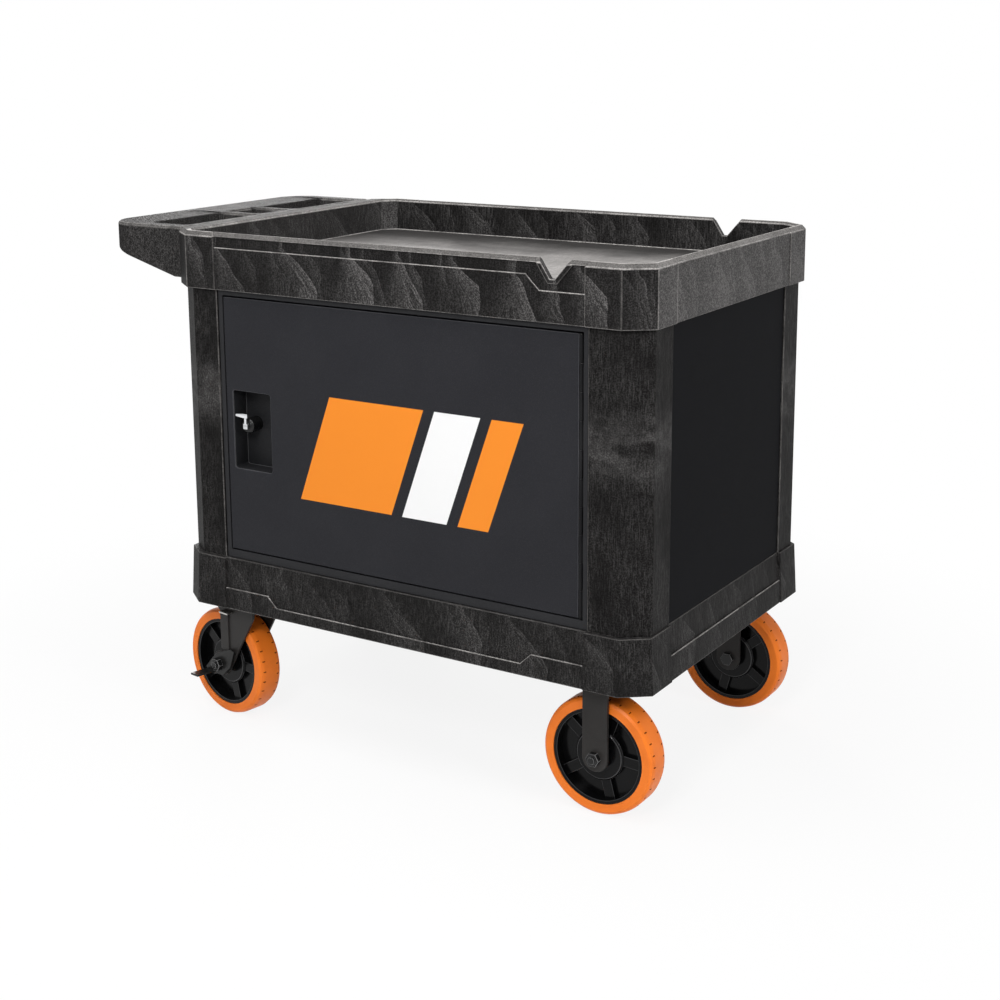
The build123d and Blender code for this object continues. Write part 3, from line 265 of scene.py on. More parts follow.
def rounded(node, body, edge, material, edge_material=None, bends=(0.0, 0.0), spare=2.2, below=2.0):
    """A merged copy of a solid in its place, with its outer edges rounded.

    Inner edges between the two heights of bends are rounded too. An edge stays sharp where a face
    beside it is less than spare times the rounding deep, or where it rises above the height below.
    """
    bpy.ops.object.select_all(action="DESELECT")
    piece = bpy.data.objects.new(node + "_finished", frame["nodes"][node].data.copy())
    bpy.context.collection.objects.link(piece)
    bpy.context.view_layer.objects.active = piece
    piece.select_set(True)
    bpy.ops.mesh.customdata_custom_splitnormals_clear()
    bpy.ops.object.mode_set(mode="EDIT")
    bpy.ops.mesh.select_all(action="SELECT")
    bpy.ops.mesh.remove_doubles(threshold=MERGE_GAP)
    bpy.ops.mesh.dissolve_limited(angle_limit=FLAT_ANGLE)
    shape = bmesh.from_edit_mesh(piece.data)
    weight = shape.edges.layers.float.new("bevel_weight_edge")
    for side in shape.edges:
        heights = [corner.co.z for corner in side.verts]
        sharp = side.calc_face_angle(0.0) > SHARP_ANGLE and max(heights) < below
        bend = bends[0] < min(heights) and max(heights) < bends[1]
        depths = [face_depth(face, side) for face in side.link_faces]
        side[weight] = float(sharp and (side.is_convex or bend) and min(depths) > spare * edge)
    bmesh.update_edit_mesh(piece.data)
    bpy.ops.object.mode_set(mode="OBJECT")
    piece.data.materials.clear()
    piece.data.materials.append(material)
    bevel = piece.modifiers.new("rounding", "BEVEL")
    bevel.width = edge
    bevel.segments = 2
    bevel.limit_method = "WEIGHT"
    bevel.use_clamp_overlap = False
    if edge_material:
        piece.data.materials.append(edge_material)
        bevel.material = EDGE
    bpy.ops.object.modifier_apply(modifier=bevel.name)
    bpy.ops.object.shade_smooth_by_angle(angle=SMOOTH_ANGLE)
    flats = piece.modifiers.new("flats", "WEIGHTED_NORMAL")
    flats.keep_sharp = True
    flats.weight = 90
    bpy.ops.object.modifier_apply(modifier=flats.name)
    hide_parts(node)
    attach(piece, body)
    return piece


SHELF_ROUNDING = 0.0014
SKIRT_TOP_Z = 0.31
skirt_foam = structural_foam(
    "skirt_foam", pitch=0.125, foot=0.235, gate=0.09, fans=0.3, grain=0.2, base=0.03)
foam_edge = rubbed_highlit_foam("rubbed_highlit_foam", wear_and_light=0.8, even=0.3)
seam_edge = rubbed_highlit_foam("rubbed_highlit_seam", wear_and_light=0.2, even=0.5)
shelf = rounded("lower_shelf", "base", SHELF_ROUNDING, skirt_foam, foam_edge)
shelf.data.materials.append(seam_edge)
for facet in shelf.data.polygons:
    turned = min(abs(facet.normal.x), abs(facet.normal.y)) > 0.1
    upright = abs(facet.normal.z) < 0.12
    if facet.material_index == EDGE and upright and turned:
        facet.material_index = SKIN
    elif facet.material_index == EDGE and facet.center.z > SKIRT_TOP_Z:
        facet.material_index = SEAM

# Caster plates, bolts, races and kingpins: pressed and turned steel under the shelf's corners.
# The plates are painted black and bolt up into the shelf's bosses, and the small turned parts
# are zinc plated.
ENDS = ("front", "rear")
BLACK_STEEL = (0.0245, 0.0225, 0.0215, 1)
BLACK_STEEL_RUBBED = (0.075, 0.072, 0.069, 1)
ZINC = (0.62, 0.61, 0.58, 1)
DULLED = 0.55
PEEL_SCALE = 900.0
PEEL_DEEP = 0.0003


def smooth_coat(name, dark, rubbed, roughness, gloss, peel, mottle=0.2):
    """A smooth finish, painted or moulded, with a faint peel and a little cloud in its colour."""
    material, tree, place = new_surface(name, roughness, gloss)
    drift = cloud(tree, place, 9.0, detail=4.0)
    skin = cloud(tree, place, PEEL_SCALE, detail=2.0)
    body = blend_colour(tree, scaled(tree, ramp(tree, drift, 0.35, 0.75), mottle), dark, rubbed)
    body = blend_colour(tree, scaled(tree, ramp(tree, skin, 0.45, 0.75), 0.1), body, rubbed)
    feed(tree, "Base Color", body)
    feed(tree, "Roughness", scaled(tree, drift, 0.16, roughness - 0.08))
    bumped(tree, skin, peel, PEEL_DEEP)
    return material


def plated_steel(name, colour, roughness, drawn):
    """Plated steel with fine drawn lines and clouded brightness."""
    material, tree, place = new_surface(name, roughness, gloss=0.5, metallic=1.0)
    lines = cloud(tree, place, drawn, detail=3.0)
    dull = tuple(DULLED * part for part in colour[:3]) + (1,)
    feed(tree, "Base Color", blend_colour(tree, ramp(tree, lines, 0.3, 0.7), dull, colour))
    feed(tree, "Roughness", scaled(tree, lines, 0.24, roughness - 0.12))
    return material


def coat(node, material):
    """Gives a solid that keeps its own shape its finish."""
    coats = frame["nodes"][node].data.materials
    coats.clear()
    coats.append(material)


black_steel = smooth_coat(
    "black_steel", BLACK_STEEL, BLACK_STEEL_RUBBED, roughness=0.4, gloss=0.16, peel=0.08)
zinc = plated_steel("zinc_plate", ZINC, roughness=0.34, drawn=(60, 60, 900))
for end in ENDS:
    coat(f"{end}_swivel_plate", black_steel)
    coat(f"{end}_swivel_race", zinc)
    coat(f"{end}_swivel_kingpin", zinc)
coat("caster_bolts", zinc)

# Forks: pressed steel legs in black paint. The rigid ones are one with their plates, and the
# swivel ones turn on the kingpins and carry a strap on the outer leg with a zinc plated tab.
FORK_ROUNDING = 0.0009
TAB_ROUNDING = 0.0006
for end in ENDS:
    rounded(f"{end}_rigid_fork", "base", FORK_ROUNDING, black_steel)
    rounded(f"{end}_swivel_fork", f"{end}_swivel", FORK_ROUNDING, black_steel)
    rounded(f"{end}_lock_tab", f"{end}_swivel", TAB_ROUNDING, zinc)

# Axles: hexagon bolts and nuts of black oxide steel, with a painted glint on their rounded corners.
# Each pair clamps a zinc plated sleeve between the legs of its fork.
OXIDE = (0.004, 0.004, 0.0042, 1)
OXIDE_PALER = (0.03, 0.03, 0.03, 1)
OXIDE_GLINT = (0.4, 0.4, 0.4, 1)
AXLE_ROUNDING = 0.0008
NUT_ROUNDING = 0.0009
nut_black = smooth_coat("black_oxide", OXIDE, OXIDE_PALER, roughness=0.2, gloss=0.3, peel=0.02)
# Painted glint: a bright coat on the rounded corners of the bolts and nuts.
nut_edge_glint = smooth_coat(
    "glinting_oxide", OXIDE_PALER, OXIDE_GLINT, roughness=0.2, gloss=0.5, peel=0.02, mottle=0.5)
for end in ENDS:
    rounded(f"{end}_rigid_axle", "base", AXLE_ROUNDING, nut_black, nut_edge_glint)
    rounded(f"{end}_rigid_nut", "base", NUT_ROUNDING, nut_black, nut_edge_glint)
    rounded(f"{end}_swivel_axle", f"{end}_swivel", AXLE_ROUNDING, nut_black, nut_edge_glint)
    rounded(f"{end}_swivel_nut", f"{end}_swivel", NUT_ROUNDING, nut_black, nut_edge_glint)
    coat(f"{end}_rigid_sleeve", zinc)
    coat(f"{end}_swivel_sleeve", zinc)

# Brake levers: pressed steel plates in black paint, one on each swivel caster.
# They turn on the axles outside the forks, and each has a foot pad bent out at its end.
LEVER_BLACK = (0.007, 0.007, 0.0068, 1)
LEVER_RUBBED = (0.05, 0.048, 0.046, 1)
LEVER_ROUNDING = 0.0008
lever_black = smooth_coat(
    "lever_black", LEVER_BLACK, LEVER_RUBBED, roughness=0.3, gloss=0.25, peel=0.05)
for end in ENDS:
    rounded(f"{end}_brake_lever", f"{end}_brake", LEVER_ROUNDING, lever_black)

# Wheel hubs: glossy black nylon cores with a rim, five ribs and a raised disc.
# Each is injection moulded in one piece and runs on the axle's sleeve.
NYLON = (0.0022, 0.0022, 0.0025, 1)
NYLON_DUSTY = (0.012, 0.012, 0.013, 1)
NYLON_EDGE = (0.02, 0.02, 0.021, 1)
NYLON_GLINT_PALER = (0.09, 0.09, 0.092, 1)
HUB_ROUNDING = 0.0009
CASTERS = [f"{end}_{kind}" for end in ENDS for kind in ("rigid", "swivel")]
hub_nylon = smooth_coat("hub_nylon", NYLON, NYLON_DUSTY, roughness=0.2, gloss=0.14, peel=0.03)
# Painted glints: the hubs' rounded edges get a paler, glossier coat.
hub_edge_glint = smooth_coat(
    "hub_edge_glint", NYLON_EDGE, NYLON_GLINT_PALER, roughness=0.2, gloss=0.4, peel=0.03)
for caster in CASTERS:
    rounded(f"{caster}_hub", f"{caster}_wheel", HUB_ROUNDING, hub_nylon, hub_edge_glint)

# Tyres: orange polyurethane cast round the hubs, flat on the tread with chamfered shoulders.
# A row of short slits runs along each shoulder.
ORANGE = (0.90, 0.207, 0.018, 1)
ORANGE_DEEP = (0.60, 0.105, 0.008, 1)
SLIT_DARK = (0.20, 0.034, 0.005, 1)
PORE_SCALE = 900.0
PORE_DEEP = 0.0003
SLIT_MOTTLE_SCALE = 300.0
TREAD_R = 0.1016
TREAD_HALF = 0.0130
CROWN_HALF = 0.0154
SHOULDER_R = 0.10066
SLIT_END = 0.0185
TYRE_RINGS = (
    (TREAD_R, CROWN_HALF), (SHOULDER_R, SLIT_END), (0.0996, 0.0220), (0.0956, 0.0250), (0.0825, 0.0250))
TYRE_STEPS = 288
SLIT_PITCH = 9
SLIT_DEEP = 0.002
CROWN_SLIT_R = TREAD_R - 0.0015
SHOULDER_SLIT_R = SHOULDER_R - 0.0005
TYRE_SMOOTH_ANGLE = radians(30)

orange, tree, place = new_surface("orange_polyurethane", roughness=0.4, gloss=0.25)
drift = cloud(tree, place, 26.0, detail=5.0)
pores = cloud(tree, place, PORE_SCALE, detail=2.0)
body = blend_colour(tree, scaled(tree, ramp(tree, drift, 0.4, 0.8), 0.25), ORANGE, ORANGE_DEEP)
body = blend_colour(tree, scaled(tree, ramp(tree, pores, 0.55, 0.8), 0.3), body, ORANGE_DEEP)
feed(tree, "Base Color", body)
feed(tree, "Roughness", scaled(tree, drift, 0.25, 0.32))
bumped(tree, pores, 0.1, PORE_DEEP)

# Painted shade: the insides of the slits are coloured a dark brown-orange.
slit_shade, tree, place = new_surface("slit_shade", roughness=0.8, gloss=0.1)
slit_mottle = blend_colour(tree, cloud(tree, place, SLIT_MOTTLE_SCALE, detail=2.0), SLIT_DARK, ORANGE_DEEP)
feed(tree, "Base Color", blend_colour(tree, 0.3, SLIT_DARK, slit_mottle))

bpy.ops.object.select_all(action="DESELECT")
bpy.ops.mesh.primitive_cylinder_add(
    vertices=TYRE_STEPS, radius=TREAD_R, depth=2 * TREAD_HALF, end_fill_type="NOTHING",
    rotation=(pi / 2, 0, 0))
pattern = bpy.context.object
bpy.ops.object.transform_apply(rotation=True)
bpy.ops.object.mode_set(mode="EDIT")
bpy.ops.mesh.select_mode(type="EDGE")
radius = TREAD_R
half = TREAD_HALF
for next_radius, next_half in TYRE_RINGS:
    bpy.ops.mesh.select_all(action="DESELECT")
    bpy.ops.mesh.select_non_manifold(extend=False)
    bpy.ops.mesh.extrude_edges_move()
    inward = next_radius / radius
    bpy.ops.transform.resize(value=(inward, next_half / half, inward), center_override=(0, 0, 0))
    radius = next_radius
    half = next_half
bpy.ops.mesh.select_all(action="DESELECT")
bpy.ops.mesh.select_non_manifold(extend=False)
bpy.ops.mesh.bridge_edge_loops()
bpy.ops.mesh.select_all(action="SELECT")
bpy.ops.mesh.normals_make_consistent(inside=False)
bpy.ops.mesh.select_mode(type="FACE")
bpy.ops.mesh.select_all(action="DESELECT")
shape = bmesh.from_edit_mesh(pattern.data)
for facet in shape.faces:
    middle = facet.calc_center_median()
    step = round(atan2(middle.z, middle.x) / (2 * pi) * TYRE_STEPS - 0.5)
    shoulder = TREAD_HALF < abs(middle.y) < SLIT_END and middle.xz.length > SHOULDER_R - 0.001
    facet.select_set(shoulder and step % SLIT_PITCH == (0 if middle.y < 0 else SLIT_PITCH // 2))
bmesh.update_edit_mesh(pattern.data)
pattern.data.materials.append(orange)
pattern.data.materials.append(slit_shade)
bpy.ops.mesh.extrude_region_shrink_fatten(TRANSFORM_OT_shrink_fatten={"value": -SLIT_DEEP})
bpy.ops.mesh.select_more()
shape = bmesh.from_edit_mesh(pattern.data)
for facet in shape.faces:
    out = abs(facet.calc_center_median().y)
    lowest = min(corner.co.xz.length for corner in facet.verts)
    deep = lowest < (CROWN_SLIT_R if out < CROWN_HALF else SHOULDER_SLIT_R)
    inner = TREAD_HALF - 0.0005 < out < SLIT_END + 0.0001
    facet.material_index = int(facet.select and deep and inner)
bmesh.update_edit_mesh(pattern.data)
bpy.ops.object.mode_set(mode="OBJECT")
bpy.ops.object.shade_smooth_by_angle(angle=TYRE_SMOOTH_ANGLE)
wheel_joints = {joint["child"]: joint for joint in frame["joints"]}
for caster in CASTERS:
    joint = wheel_joints[f"{caster}_wheel"]
    turn = Matrix.Rotation(atan2(joint["axis"][0], -joint["axis"][1]), 4, "Z")
    tyre = bpy.data.objects.new(f"{caster}_tyre_slitted", pattern.data.copy())
    bpy.context.collection.objects.link(tyre)
    tyre.data.transform(Matrix.Translation(joint["pos_m"]) @ turn)
    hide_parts(f"{caster}_tyre")
    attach(tyre, f"{caster}_wheel")
bpy.data.objects.remove(pattern)

# Corner posts: foam mouldings with flat-cut outer corners and a strong upright grain, standing on
# the lower shelf. The panels' tabs are screwed to them from inside. Two flows of foam meet half
# way up each post and leave a smoky weld mark, which is darkest on the cut corner.
CHEST_MIDDLE_X = 0.096
POST_ROUNDING = 0.0016
WELD_Z = 0.632
WELD_WANDER = 0.03
WELD_HALO = (0.075, 0.012)
WELD_CORE = (0.016, 0.005)
SMOKE_SCALE = (24.0, 24.0, 40.0)


def weld_mark(tree, share, place, speck, turned):
    """Adds the weld mark's pale halo and dark core to a post's pale share."""
    stray = wander(tree, place, WELD_WANDER, scale=22.0, detail=3.0)
    off = sums(tree, "SUBTRACT", split_axes(tree, place)[2], WELD_Z)
    off = sums(tree, "ABSOLUTE", sums(tree, "ADD", off, stray))
    smoke = ramp(tree, cloud(tree, place, SMOKE_SCALE, detail=4.0, roughness=0.65), 0.35, 0.68)
    halo = sums(tree, "MULTIPLY", ramp(tree, off, *WELD_HALO), scaled(tree, smoke, 0.8, 0.2))
    halo = sums(tree, "MULTIPLY", halo, scaled(tree, speck, 0.7, 0.6))
    core = sums(tree, "MULTIPLY", turned, ramp(tree, off, *WELD_CORE))
    core = sums(tree, "MULTIPLY", core, scaled(tree, speck, -0.4, 1.0))
    share = sums(tree, "ADD", share, scaled(tree, halo, 0.34))
    return sums(tree, "MULTIPLY", share, scaled(tree, core, -0.8, 1.0))


post_foam = structural_foam(
    "post_foam", pitch=0.06, foot=0.33, gate=0.9, fans=0.10, grain=0.17, overlay=weld_mark)
post_edge = rubbed_highlit_foam("rubbed_highlit_post", wear_and_light=0.6, even=0.35)
for corner in ("front_left", "front_right", "rear_left", "rear_right"):
    post = rounded(f"{corner}_post", "base", POST_ROUNDING, post_foam, post_edge)
    for facet in post.data.polygons:
        away_x = facet.normal.x * (facet.center.x - CHEST_MIDDLE_X)
        away_y = facet.normal.y * facet.center.y
        if min(away_x, away_y) > 0:
            facet.material_index = SKIN

# Side and back panels and the door frame: folded sheet steel with a dark slate powder coat.
# Their tabs lie behind the posts, and small plated screws hold them from inside.
SLATE = (0.0072, 0.0074, 0.0084, 1)
SLATE_RUBBED = (0.045, 0.045, 0.049, 1)
FRAME_SLATE = (0.018, 0.0182, 0.020, 1)
FRAME_SLATE_RUBBED = (0.085, 0.085, 0.09, 1)
PANEL_ROUNDING = 0.0006
slate = smooth_coat(
    "slate_coat", SLATE, SLATE_RUBBED, roughness=0.55, gloss=0.012, peel=0.08, mottle=0.05)
frame_slate = smooth_coat(
    "frame_coat", FRAME_SLATE, FRAME_SLATE_RUBBED, roughness=0.5, gloss=0.14, peel=0.08, mottle=0.05)
for name in ("back_panel", "left_end_panel", "right_end_panel"):
    rounded(name, "base", PANEL_ROUNDING, slate)
rounded("door_frame", "base", PANEL_ROUNDING, frame_slate)
coat("panel_screws", zinc)

# Door: a folded steel pan with a hat-shaped stiffener behind it, in the same slate coat, with
# three slanted stripes sprayed on its front. Its copy of the coat is painted paler than the panels',
# as painted sheen. A pressed pocket near its free edge holds the latch.
DOOR_SLATE_SHEENED = (0.0170, 0.0172, 0.0205, 1)
DOOR_SLATE_RUBBED = (0.10, 0.10, 0.108, 1)
DOOR_EDGE = (0.045, 0.046, 0.052, 1)
DOOR_EDGE_PALER = (0.16, 0.16, 0.17, 1)
POCKET_SLATE = (0.011, 0.0112, 0.0125, 1)
POCKET_SLATE_RUBBED = (0.14, 0.14, 0.145, 1)
POCKET_EDGE = (0.06, 0.061, 0.064, 1)
POCKET_EDGE_PALER = (0.2, 0.2, 0.2, 1)
DOOR_ROUNDING = 0.0008
DOOR_FRONT_Y = (-0.3125, -0.3135)
ALL_BENDS = (0.0, 1.0)
STRIPE_MIDDLE_Z = 0.556
STRIPE_HALF = 0.095
STRIPE_LEAN = 0.36
STRIPE_SOFT = 0.0003
STRIPE_ORANGE = (0.87, 0.262, 0.026, 1)
STRIPE_WHITE = (0.88, 0.88, 0.88, 1)
STRIPES = ((-0.070, 0.125, STRIPE_ORANGE), (0.147, 0.237, STRIPE_WHITE), (0.259, 0.319, STRIPE_ORANGE))


def reopened(material):
    """A material's node tree, its colour so far, and the x, y and z on the piece."""
    tree = material.node_tree
    colour = tree.nodes["Principled BSDF"].inputs["Base Color"].links[0].from_socket
    return tree, colour, split_axes(tree, shader(tree, "TexCoord").outputs["Object"])


# Painted sheen: the door's copy of the slate coat is paler than the panels'.
door_slate_sheened = smooth_coat(
    "door_coat", DOOR_SLATE_SHEENED, DOOR_SLATE_RUBBED, roughness=0.5, gloss=0.11, peel=0.08, mottle=0.03)
tree, colour, split = reopened(door_slate_sheened)
rise = sums(tree, "SUBTRACT", split[2], STRIPE_MIDDLE_Z)
slant = sums(tree, "SUBTRACT", split[0], scaled(tree, rise, STRIPE_LEAN))
field = ramp(tree, sums(tree, "ABSOLUTE", rise), STRIPE_HALF + STRIPE_SOFT, STRIPE_HALF - STRIPE_SOFT)
field = sums(tree, "MULTIPLY", field, ramp(tree, split[1], *DOOR_FRONT_Y))
for left, right, paint in STRIPES:
    middle = (left + right) / 2
    half = (right - left) / 2
    bar = sums(tree, "ABSOLUTE", sums(tree, "SUBTRACT", slant, middle))
    bar = sums(tree, "MULTIPLY", field, ramp(tree, bar, half + STRIPE_SOFT, half - STRIPE_SOFT))
    colour = blend_colour(tree, bar, colour, paint)
feed(tree, "Base Color", colour)
# Painted highlight: the door's rounded edges get a paler coat.
door_edge_highlight = smooth_coat(
    "door_edge_highlight", DOOR_EDGE, DOOR_EDGE_PALER, roughness=0.4, gloss=0.2, peel=0.08)
rounded("door_skin", "door", DOOR_ROUNDING, door_slate_sheened, door_edge_highlight)
pocket_slate = smooth_coat(
    "pocket_coat", POCKET_SLATE, POCKET_SLATE_RUBBED, roughness=0.45, gloss=0.12, peel=0.08,
    mottle=0.04)
# Painted highlight: the pocket's rounded bends get a paler coat.
pocket_bend_highlight = smooth_coat(
    "pocket_bend_highlight", POCKET_EDGE, POCKET_EDGE_PALER, roughness=0.4, gloss=0.2, peel=0.08)
rounded("latch_pocket", "door", DOOR_ROUNDING, pocket_slate, pocket_bend_highlight, bends=ALL_BENDS)
coat("door_stiffener", slate)

# Latch: a chrome plated finger bar that turns in a black lock body, set into the door's pocket.
# Behind the door a zinc plated cam with a drive pin slides the steel bolt through its guides.
CHROME = (0.8, 0.81, 0.83, 1)
LOCK_ROUNDING = 0.0006
FINGER_BAR_ROUNDING = 0.0008
chrome = plated_steel("chrome_plate", CHROME, roughness=0.14, drawn=(30, 30, 200))
rounded("lock_body", "door", LOCK_ROUNDING, nut_black)
rounded("latch_handle", "latch_lever", FINGER_BAR_ROUNDING, chrome)
for name in ("bolt_guides", "latch_cam", "latch_bolt"):
    coat(name, zinc)

# Continuous hinge: two leaves of steel strip with interleaved knuckles on one zinc plated pin.
# The leaves are coloured near-black as painted shade for the shadowed gap beside the door, and one
# is fixed to the door frame and the other to the door.
HINGE_SHADE_BLACK = (0.005, 0.005, 0.0056, 1)
HINGE_RUBBED = (0.05, 0.05, 0.052, 1)
hinge_shade_black = smooth_coat("hinge_coat", HINGE_SHADE_BLACK, HINGE_RUBBED, roughness=0.4, gloss=0.1, peel=0.05)
for name in ("frame_hinge_leaf", "door_hinge_leaf"):
    coat(name, hinge_shade_black)
coat("hinge_pin", zinc)

# Upper tray: the deep open foam moulding on top, with a bevelled rim and a notch front and back.
# It stands on the four posts. Its floor is the palest foam of the whole chest, with scuffs along its
# length from what is carried in it, and painted shade darkens it towards the back wall and the ends.
# Its rim is rubbed all round and carries a painted highlight, palest where it faces up.
TRAY_ROUNDING = 0.0014
TRAY_SPARE = 1.7
TRAY_FLOOR_Z = 0.858
RIM_LOW = 0.9137
RIM_TOP = 0.9205
LEDGE_Z = 0.8945
POCKET_Y = 0.3195
END_STEP_Y = 0.2255
END_STEP_RUB = (0.0017, 0.0005)
HANDLE_SIDE_X = (-0.350, -0.358)
HANDLE_SIDE_KEPT = 0.82
RIGHT_CORNER_X = 0.55
OUTER_FANS = {"pitch": 0.115, "foot": 0.822, "gate": 0.088, "phase": 9.2}
WELL_FANS = {"pitch": 0.13, "foot": 0.86, "gate": 0.058}
SCUFF_SCALE = (7.0, 26.0, 1.0)
BLOTCH_SCALE = (120.0, 32.0, 1.0)
FLOOR_DRIFT = 0.2
FLOOR_DRIFT_SCALE = (8.0, 11.0, 1.0)
FLOOR_BUMP = 0.0004
FLOOR_PALE = (0.52, 0.06)
X_AXIS, Y_AXIS = 0, 1
FLOOR_SHADED_SIDES = (
    (Y_AXIS, 0.275, 0.03), (Y_AXIS, -0.33, -0.2), (X_AXIS, -0.48, -0.12), (X_AXIS, 0.62, 0.46))

tray_foam = structural_foam("tray_foam", **OUTER_FANS, fans=0.9, grain=0.11, base=0.035, end_light=0.52)
tree, skin, split = reopened(tray_foam)
rub = ramp(tree, sums(tree, "ABSOLUTE", sums(tree, "ADD", split[1], END_STEP_Y)), *END_STEP_RUB)
rub = sums(tree, "MULTIPLY", rub, ramp(tree, facing_axes(tree)[0], 0.9, 0.98))
rub = sums(tree, "MULTIPLY", rub, scaled(tree, cloud(tree, split[2], SPECK_SCALE), 0.5, 0.3))
feed(tree, "Base Color", blend_colour(tree, rub, skin, FOAM_PALEST))
tray_edge = rubbed_highlit_foam("rubbed_highlit_tray", wear_and_light=1.0, even=0.5)

floor_foam, tree, place = new_surface("floor_foam", roughness=0.55, gloss=0.12)
scuffs = ramp(tree, cloud(tree, place, SCUFF_SCALE, detail=5.0, roughness=0.7), 0.34, 0.7)
speck = ramp(tree, cloud(tree, place, SPECK_SCALE, detail=2.5, roughness=0.7), 0.35, 0.7)
blotch = ramp(tree, cloud(tree, place, BLOTCH_SCALE, detail=4.0, roughness=0.75), 0.38, 0.64)
drift = wander(tree, place, FLOOR_DRIFT, FLOOR_DRIFT_SCALE, detail=3.0, roughness=0.6)
split = split_axes(tree, place)
# Painted shade: the floor darkens towards the back wall and both ends, where the walls shade it.
wear_and_light = 1.0
for axis, shaded_at, lit_at in FLOOR_SHADED_SIDES:
    along = sums(tree, "ADD", split[axis], drift)
    wear_and_light = sums(tree, "MULTIPLY", wear_and_light, ramp(tree, along, shaded_at, lit_at))
share = sums(tree, "MULTIPLY", scaled(tree, wear_and_light, *FLOOR_PALE), scaled(tree, scuffs, 0.3, 0.8))
share = sums(tree, "MULTIPLY", share, scaled(tree, blotch, 0.25, 0.87))
share = sums(tree, "MULTIPLY", share, scaled(tree, speck, 0.5, 0.75))
feed(tree, "Base Color", blend_colour(tree, share, FOAM_DARK, FOAM_PALEST))
bumped(tree, speck, 0.3, FLOOR_BUMP)

rim_foam = rubbed_highlit_foam("rubbed_highlit_rim", wear_and_light=1.1, even=0.75, gloss=0.01)
tree, skin, split = reopened(rim_foam)
kept = scaled(tree, ramp(tree, split[0], *HANDLE_SIDE_X), HANDLE_SIDE_KEPT)
feed(tree, "Base Color", blend_colour(tree, kept, skin, FOAM_DARK))

floor_bends = (TRAY_FLOOR_Z - 0.001, TRAY_FLOOR_Z + 0.001)
tray = rounded(
    "upper_tray", "base", TRAY_ROUNDING, tray_foam, tray_edge,
    bends=floor_bends, spare=TRAY_SPARE, below=RIM_TOP)
WELL, FLOOR, RIM, BAND, TURN, UPRIGHT, BEVEL, LIT_END_BEVEL = range(2, 10)
tray_coats = (
    structural_foam("well_foam", **WELL_FANS, fans=0.38, grain=0.26, end_light=0.14),
    floor_foam,
    rim_foam,
    # Painted light: the band under the rim gets a pale skin, standing in for light that falls on it.
    structural_foam("band_foam", **OUTER_FANS, fans=0.3, grain=0.12, base=0.8),
    structural_foam("turn_foam", **WELL_FANS, fans=0.2, grain=0.3, base=0.68),
    rubbed_highlit_foam("rubbed_highlit_upright", wear_and_light=0.4, even=0.5),
    rubbed_highlit_foam("rubbed_highlit_bevel", wear_and_light=0.31, even=0.75, gloss=0.03),
    rubbed_highlit_foam("rubbed_lit_end_bevel", wear_and_light=0.5, even=0.75, gloss=0.03),
)
for material in tray_coats:
    tray.data.materials.append(material)
for facet in tray.data.polygons:
    facing = facet.normal
    middle = facet.center
    inward = facing.dot(Vector((CHEST_MIDDLE_X, 0, middle.z)) - middle)
    upright = abs(facing.z) < 0.3 and facing.y < -0.1 and facing.x > 0.1
    if facet.material_index == EDGE and upright and middle.x < RIGHT_CORNER_X:
        facet.material_index = UPRIGHT
    elif facet.material_index == EDGE or middle.z < TRAY_FLOOR_Z - 0.002:
        continue
    elif middle.z > RIM_LOW and facing.z > 0.5:
        # Painted light: the bevel on the right end gets a paler copy of the rubbed coat, as that end is
        # lit more.
        bevel = LIT_END_BEVEL if facing.x > 0.6 else BEVEL
        facet.material_index = RIM if middle.z > RIM_TOP else bevel
    elif facing.z > 0.9 and middle.z < TRAY_FLOOR_Z + 0.01:
        facet.material_index = FLOOR
    elif inward > 0.01:
        cut_corner = middle.x < 0 and min(abs(facing.x), abs(facing.y)) > 0.25
        facet.material_index = TURN if cut_corner else WELL
    elif middle.z > LEDGE_Z and abs(middle.y) < POCKET_Y + 0.0005:
        facet.material_index = BAND

# Push handle: a foam frame with two hand openings and a slot, moulded like the tray and fixed to
# its left end. Its top is a little paler, and its edges are lightly rubbed and carry a painted
# highlight.
HANDLE_ROUNDING = 0.0018
handle_foam = structural_foam(
    "handle_foam", pitch=0.2, foot=0.825, gate=0.12, fans=0.12, grain=0.22, base=0.19, tops=0.22,
    gloss=0.005)
handle_edge = rubbed_highlit_foam("rubbed_highlit_handle", wear_and_light=0.42, even=0.4)
rounded("push_handle", "base", HANDLE_ROUNDING, handle_foam, handle_edge)

# Studio: a white paper floor that keeps a soft shadow, a large soft box overhead, a key lamp from
# the front right, fills from the right and from behind, and a long lens from the front right.
FLOOR_SIZE = 60
WHITE = (1, 1, 1, 1)
PAPER = (0.75, 0.75, 0.75, 1)
PAPER_SHOWN = 0.12
PAPER_REACH = (0.7, 1.5)
ROOM_LIGHT = 0.14


def seen_directly(tree):
    """1 for what the camera sees, also in metal and through glass, and 0 for light on the chest."""
    path = shader(tree, "LightPath").outputs
    mirrored = sums(tree, "MAXIMUM", path["Is Glossy Ray"], path["Is Transmission Ray"])
    return sums(tree, "MAXIMUM", path["Is Camera Ray"], mirrored)


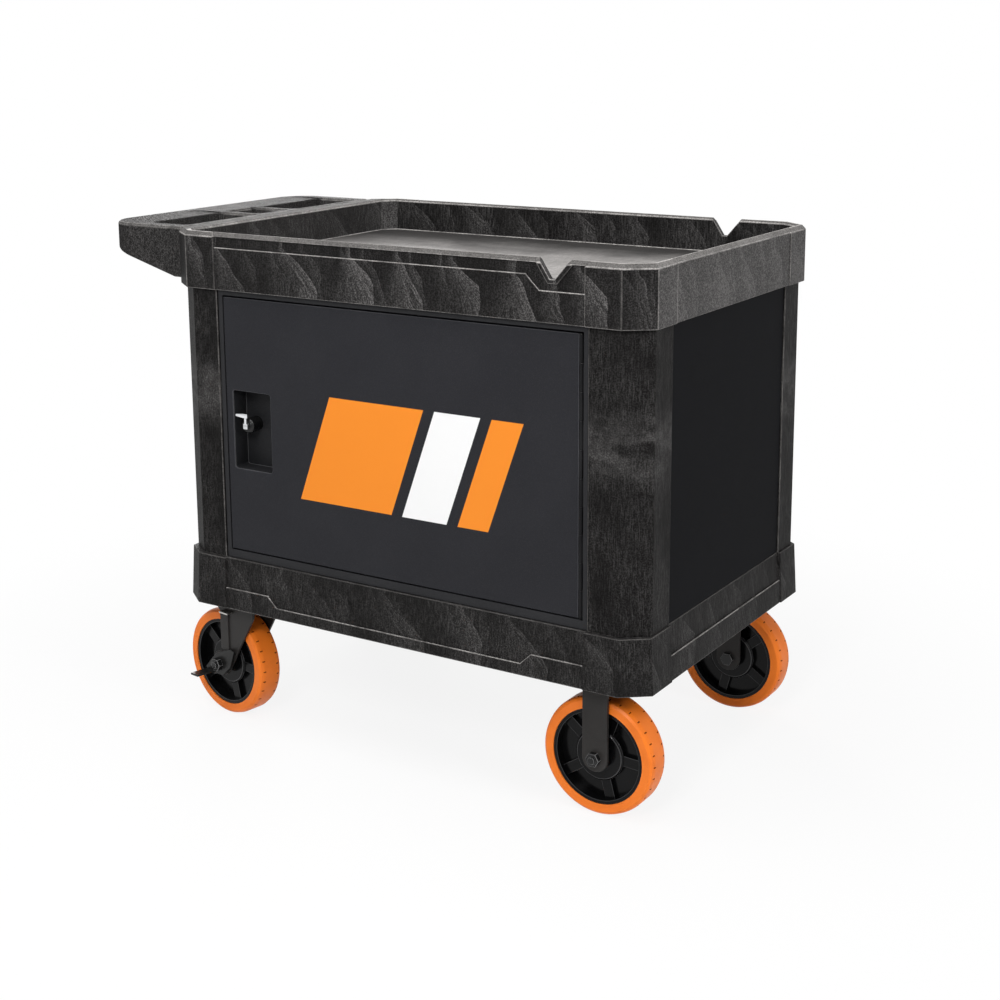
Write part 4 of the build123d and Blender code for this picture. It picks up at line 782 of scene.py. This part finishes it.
bpy.ops.object.select_all(action="DESELECT")
bpy.ops.mesh.primitive_plane_add(size=FLOOR_SIZE)
floor = bpy.context.object
floor.name = "studio_floor"
paper = bpy.data.materials.new("studio_paper")
paper.use_nodes = True
tree = paper.node_tree
tree.nodes.remove(tree.nodes["Principled BSDF"])
place = shader(tree, "TexCoord").outputs["Object"]
away = shader(tree, "VectorMath", {"operation": "LENGTH"}, {0: place}).outputs["Value"]
clean = scaled(tree, ramp(tree, away, *PAPER_REACH), PAPER_SHOWN, 1 - PAPER_SHOWN)
clean = sums(tree, "MULTIPLY", seen_directly(tree), clean)
matt = shader(tree, "BsdfDiffuse", None, {"Color": PAPER}).outputs[0]
glow = shader(tree, "Emission", None, {"Color": WHITE, "Strength": 1.0}).outputs[0]
both = shader(tree, "MixShader", None, {0: clean, 1: matt, 2: glow}).outputs[0]
tree.links.new(both, tree.nodes["Material Output"].inputs["Surface"])
floor.data.materials.append(paper)

world = bpy.data.worlds.new("studio")
bpy.context.scene.world = world
world.use_nodes = True
tree = world.node_tree
room = shader(tree, "Background", None, {"Color": WHITE, "Strength": ROOM_LIGHT}).outputs[0]
backdrop = shader(tree, "Background", None, {"Color": WHITE, "Strength": 1.0}).outputs[0]
both = shader(tree, "MixShader", None, {0: seen_directly(tree), 1: room, 2: backdrop}).outputs[0]
tree.links.new(both, tree.nodes["World Output"].inputs["Surface"])


def soft_box(name, place, aim, size, power):
    """A square studio lamp turned towards a point."""
    bpy.ops.object.light_add(type="AREA", location=place)
    lamp = bpy.context.object
    lamp.name = name
    lamp.data.size = size
    lamp.data.energy = power
    lamp.rotation_euler = (Vector(aim) - Vector(place)).to_track_quat("-Z", "Y").to_euler()


soft_box("overhead", place=(-0.1, -0.6, 3.0), aim=(0.05, -0.1, 0.6), size=2.4, power=76)
soft_box("front_key", place=(1.0, -2.9, 2.5), aim=(0.3, 0, 0.45), size=0.9, power=60)
soft_box("right_fill", place=(3.2, -0.7, 1.9), aim=(0.3, 0, 0.4), size=1.0, power=38)
soft_box("back_fill", place=(-2.4, 2.6, 1.15), aim=(0, 0, 0.45), size=1.2, power=60)

CAMERA_PLACE = Vector((1.70869, -2.54822, 1.27277))
CAMERA_TURN = 32.26
CAMERA_DOWN = 11.64
CAMERA_ROLL = -0.35
CAMERA_SENSOR = 36.0
CAMERA_LENS = 60.72
CAMERA_SHIFT = (0.0058, -0.127)
bpy.ops.object.camera_add(location=CAMERA_PLACE)
camera = bpy.context.object
turn = Matrix.Rotation(radians(CAMERA_TURN), 4, "Z")
tilt = Matrix.Rotation(radians(90 - CAMERA_DOWN), 4, "X")
roll = Matrix.Rotation(radians(CAMERA_ROLL), 4, "Z")
camera.matrix_world = Matrix.Translation(CAMERA_PLACE) @ (turn @ tilt) @ roll
camera.data.sensor_width = CAMERA_SENSOR
camera.data.lens = CAMERA_LENS
camera.data.shift_x = CAMERA_SHIFT[0]
camera.data.shift_y = CAMERA_SHIFT[1]
bpy.context.scene.camera = camera
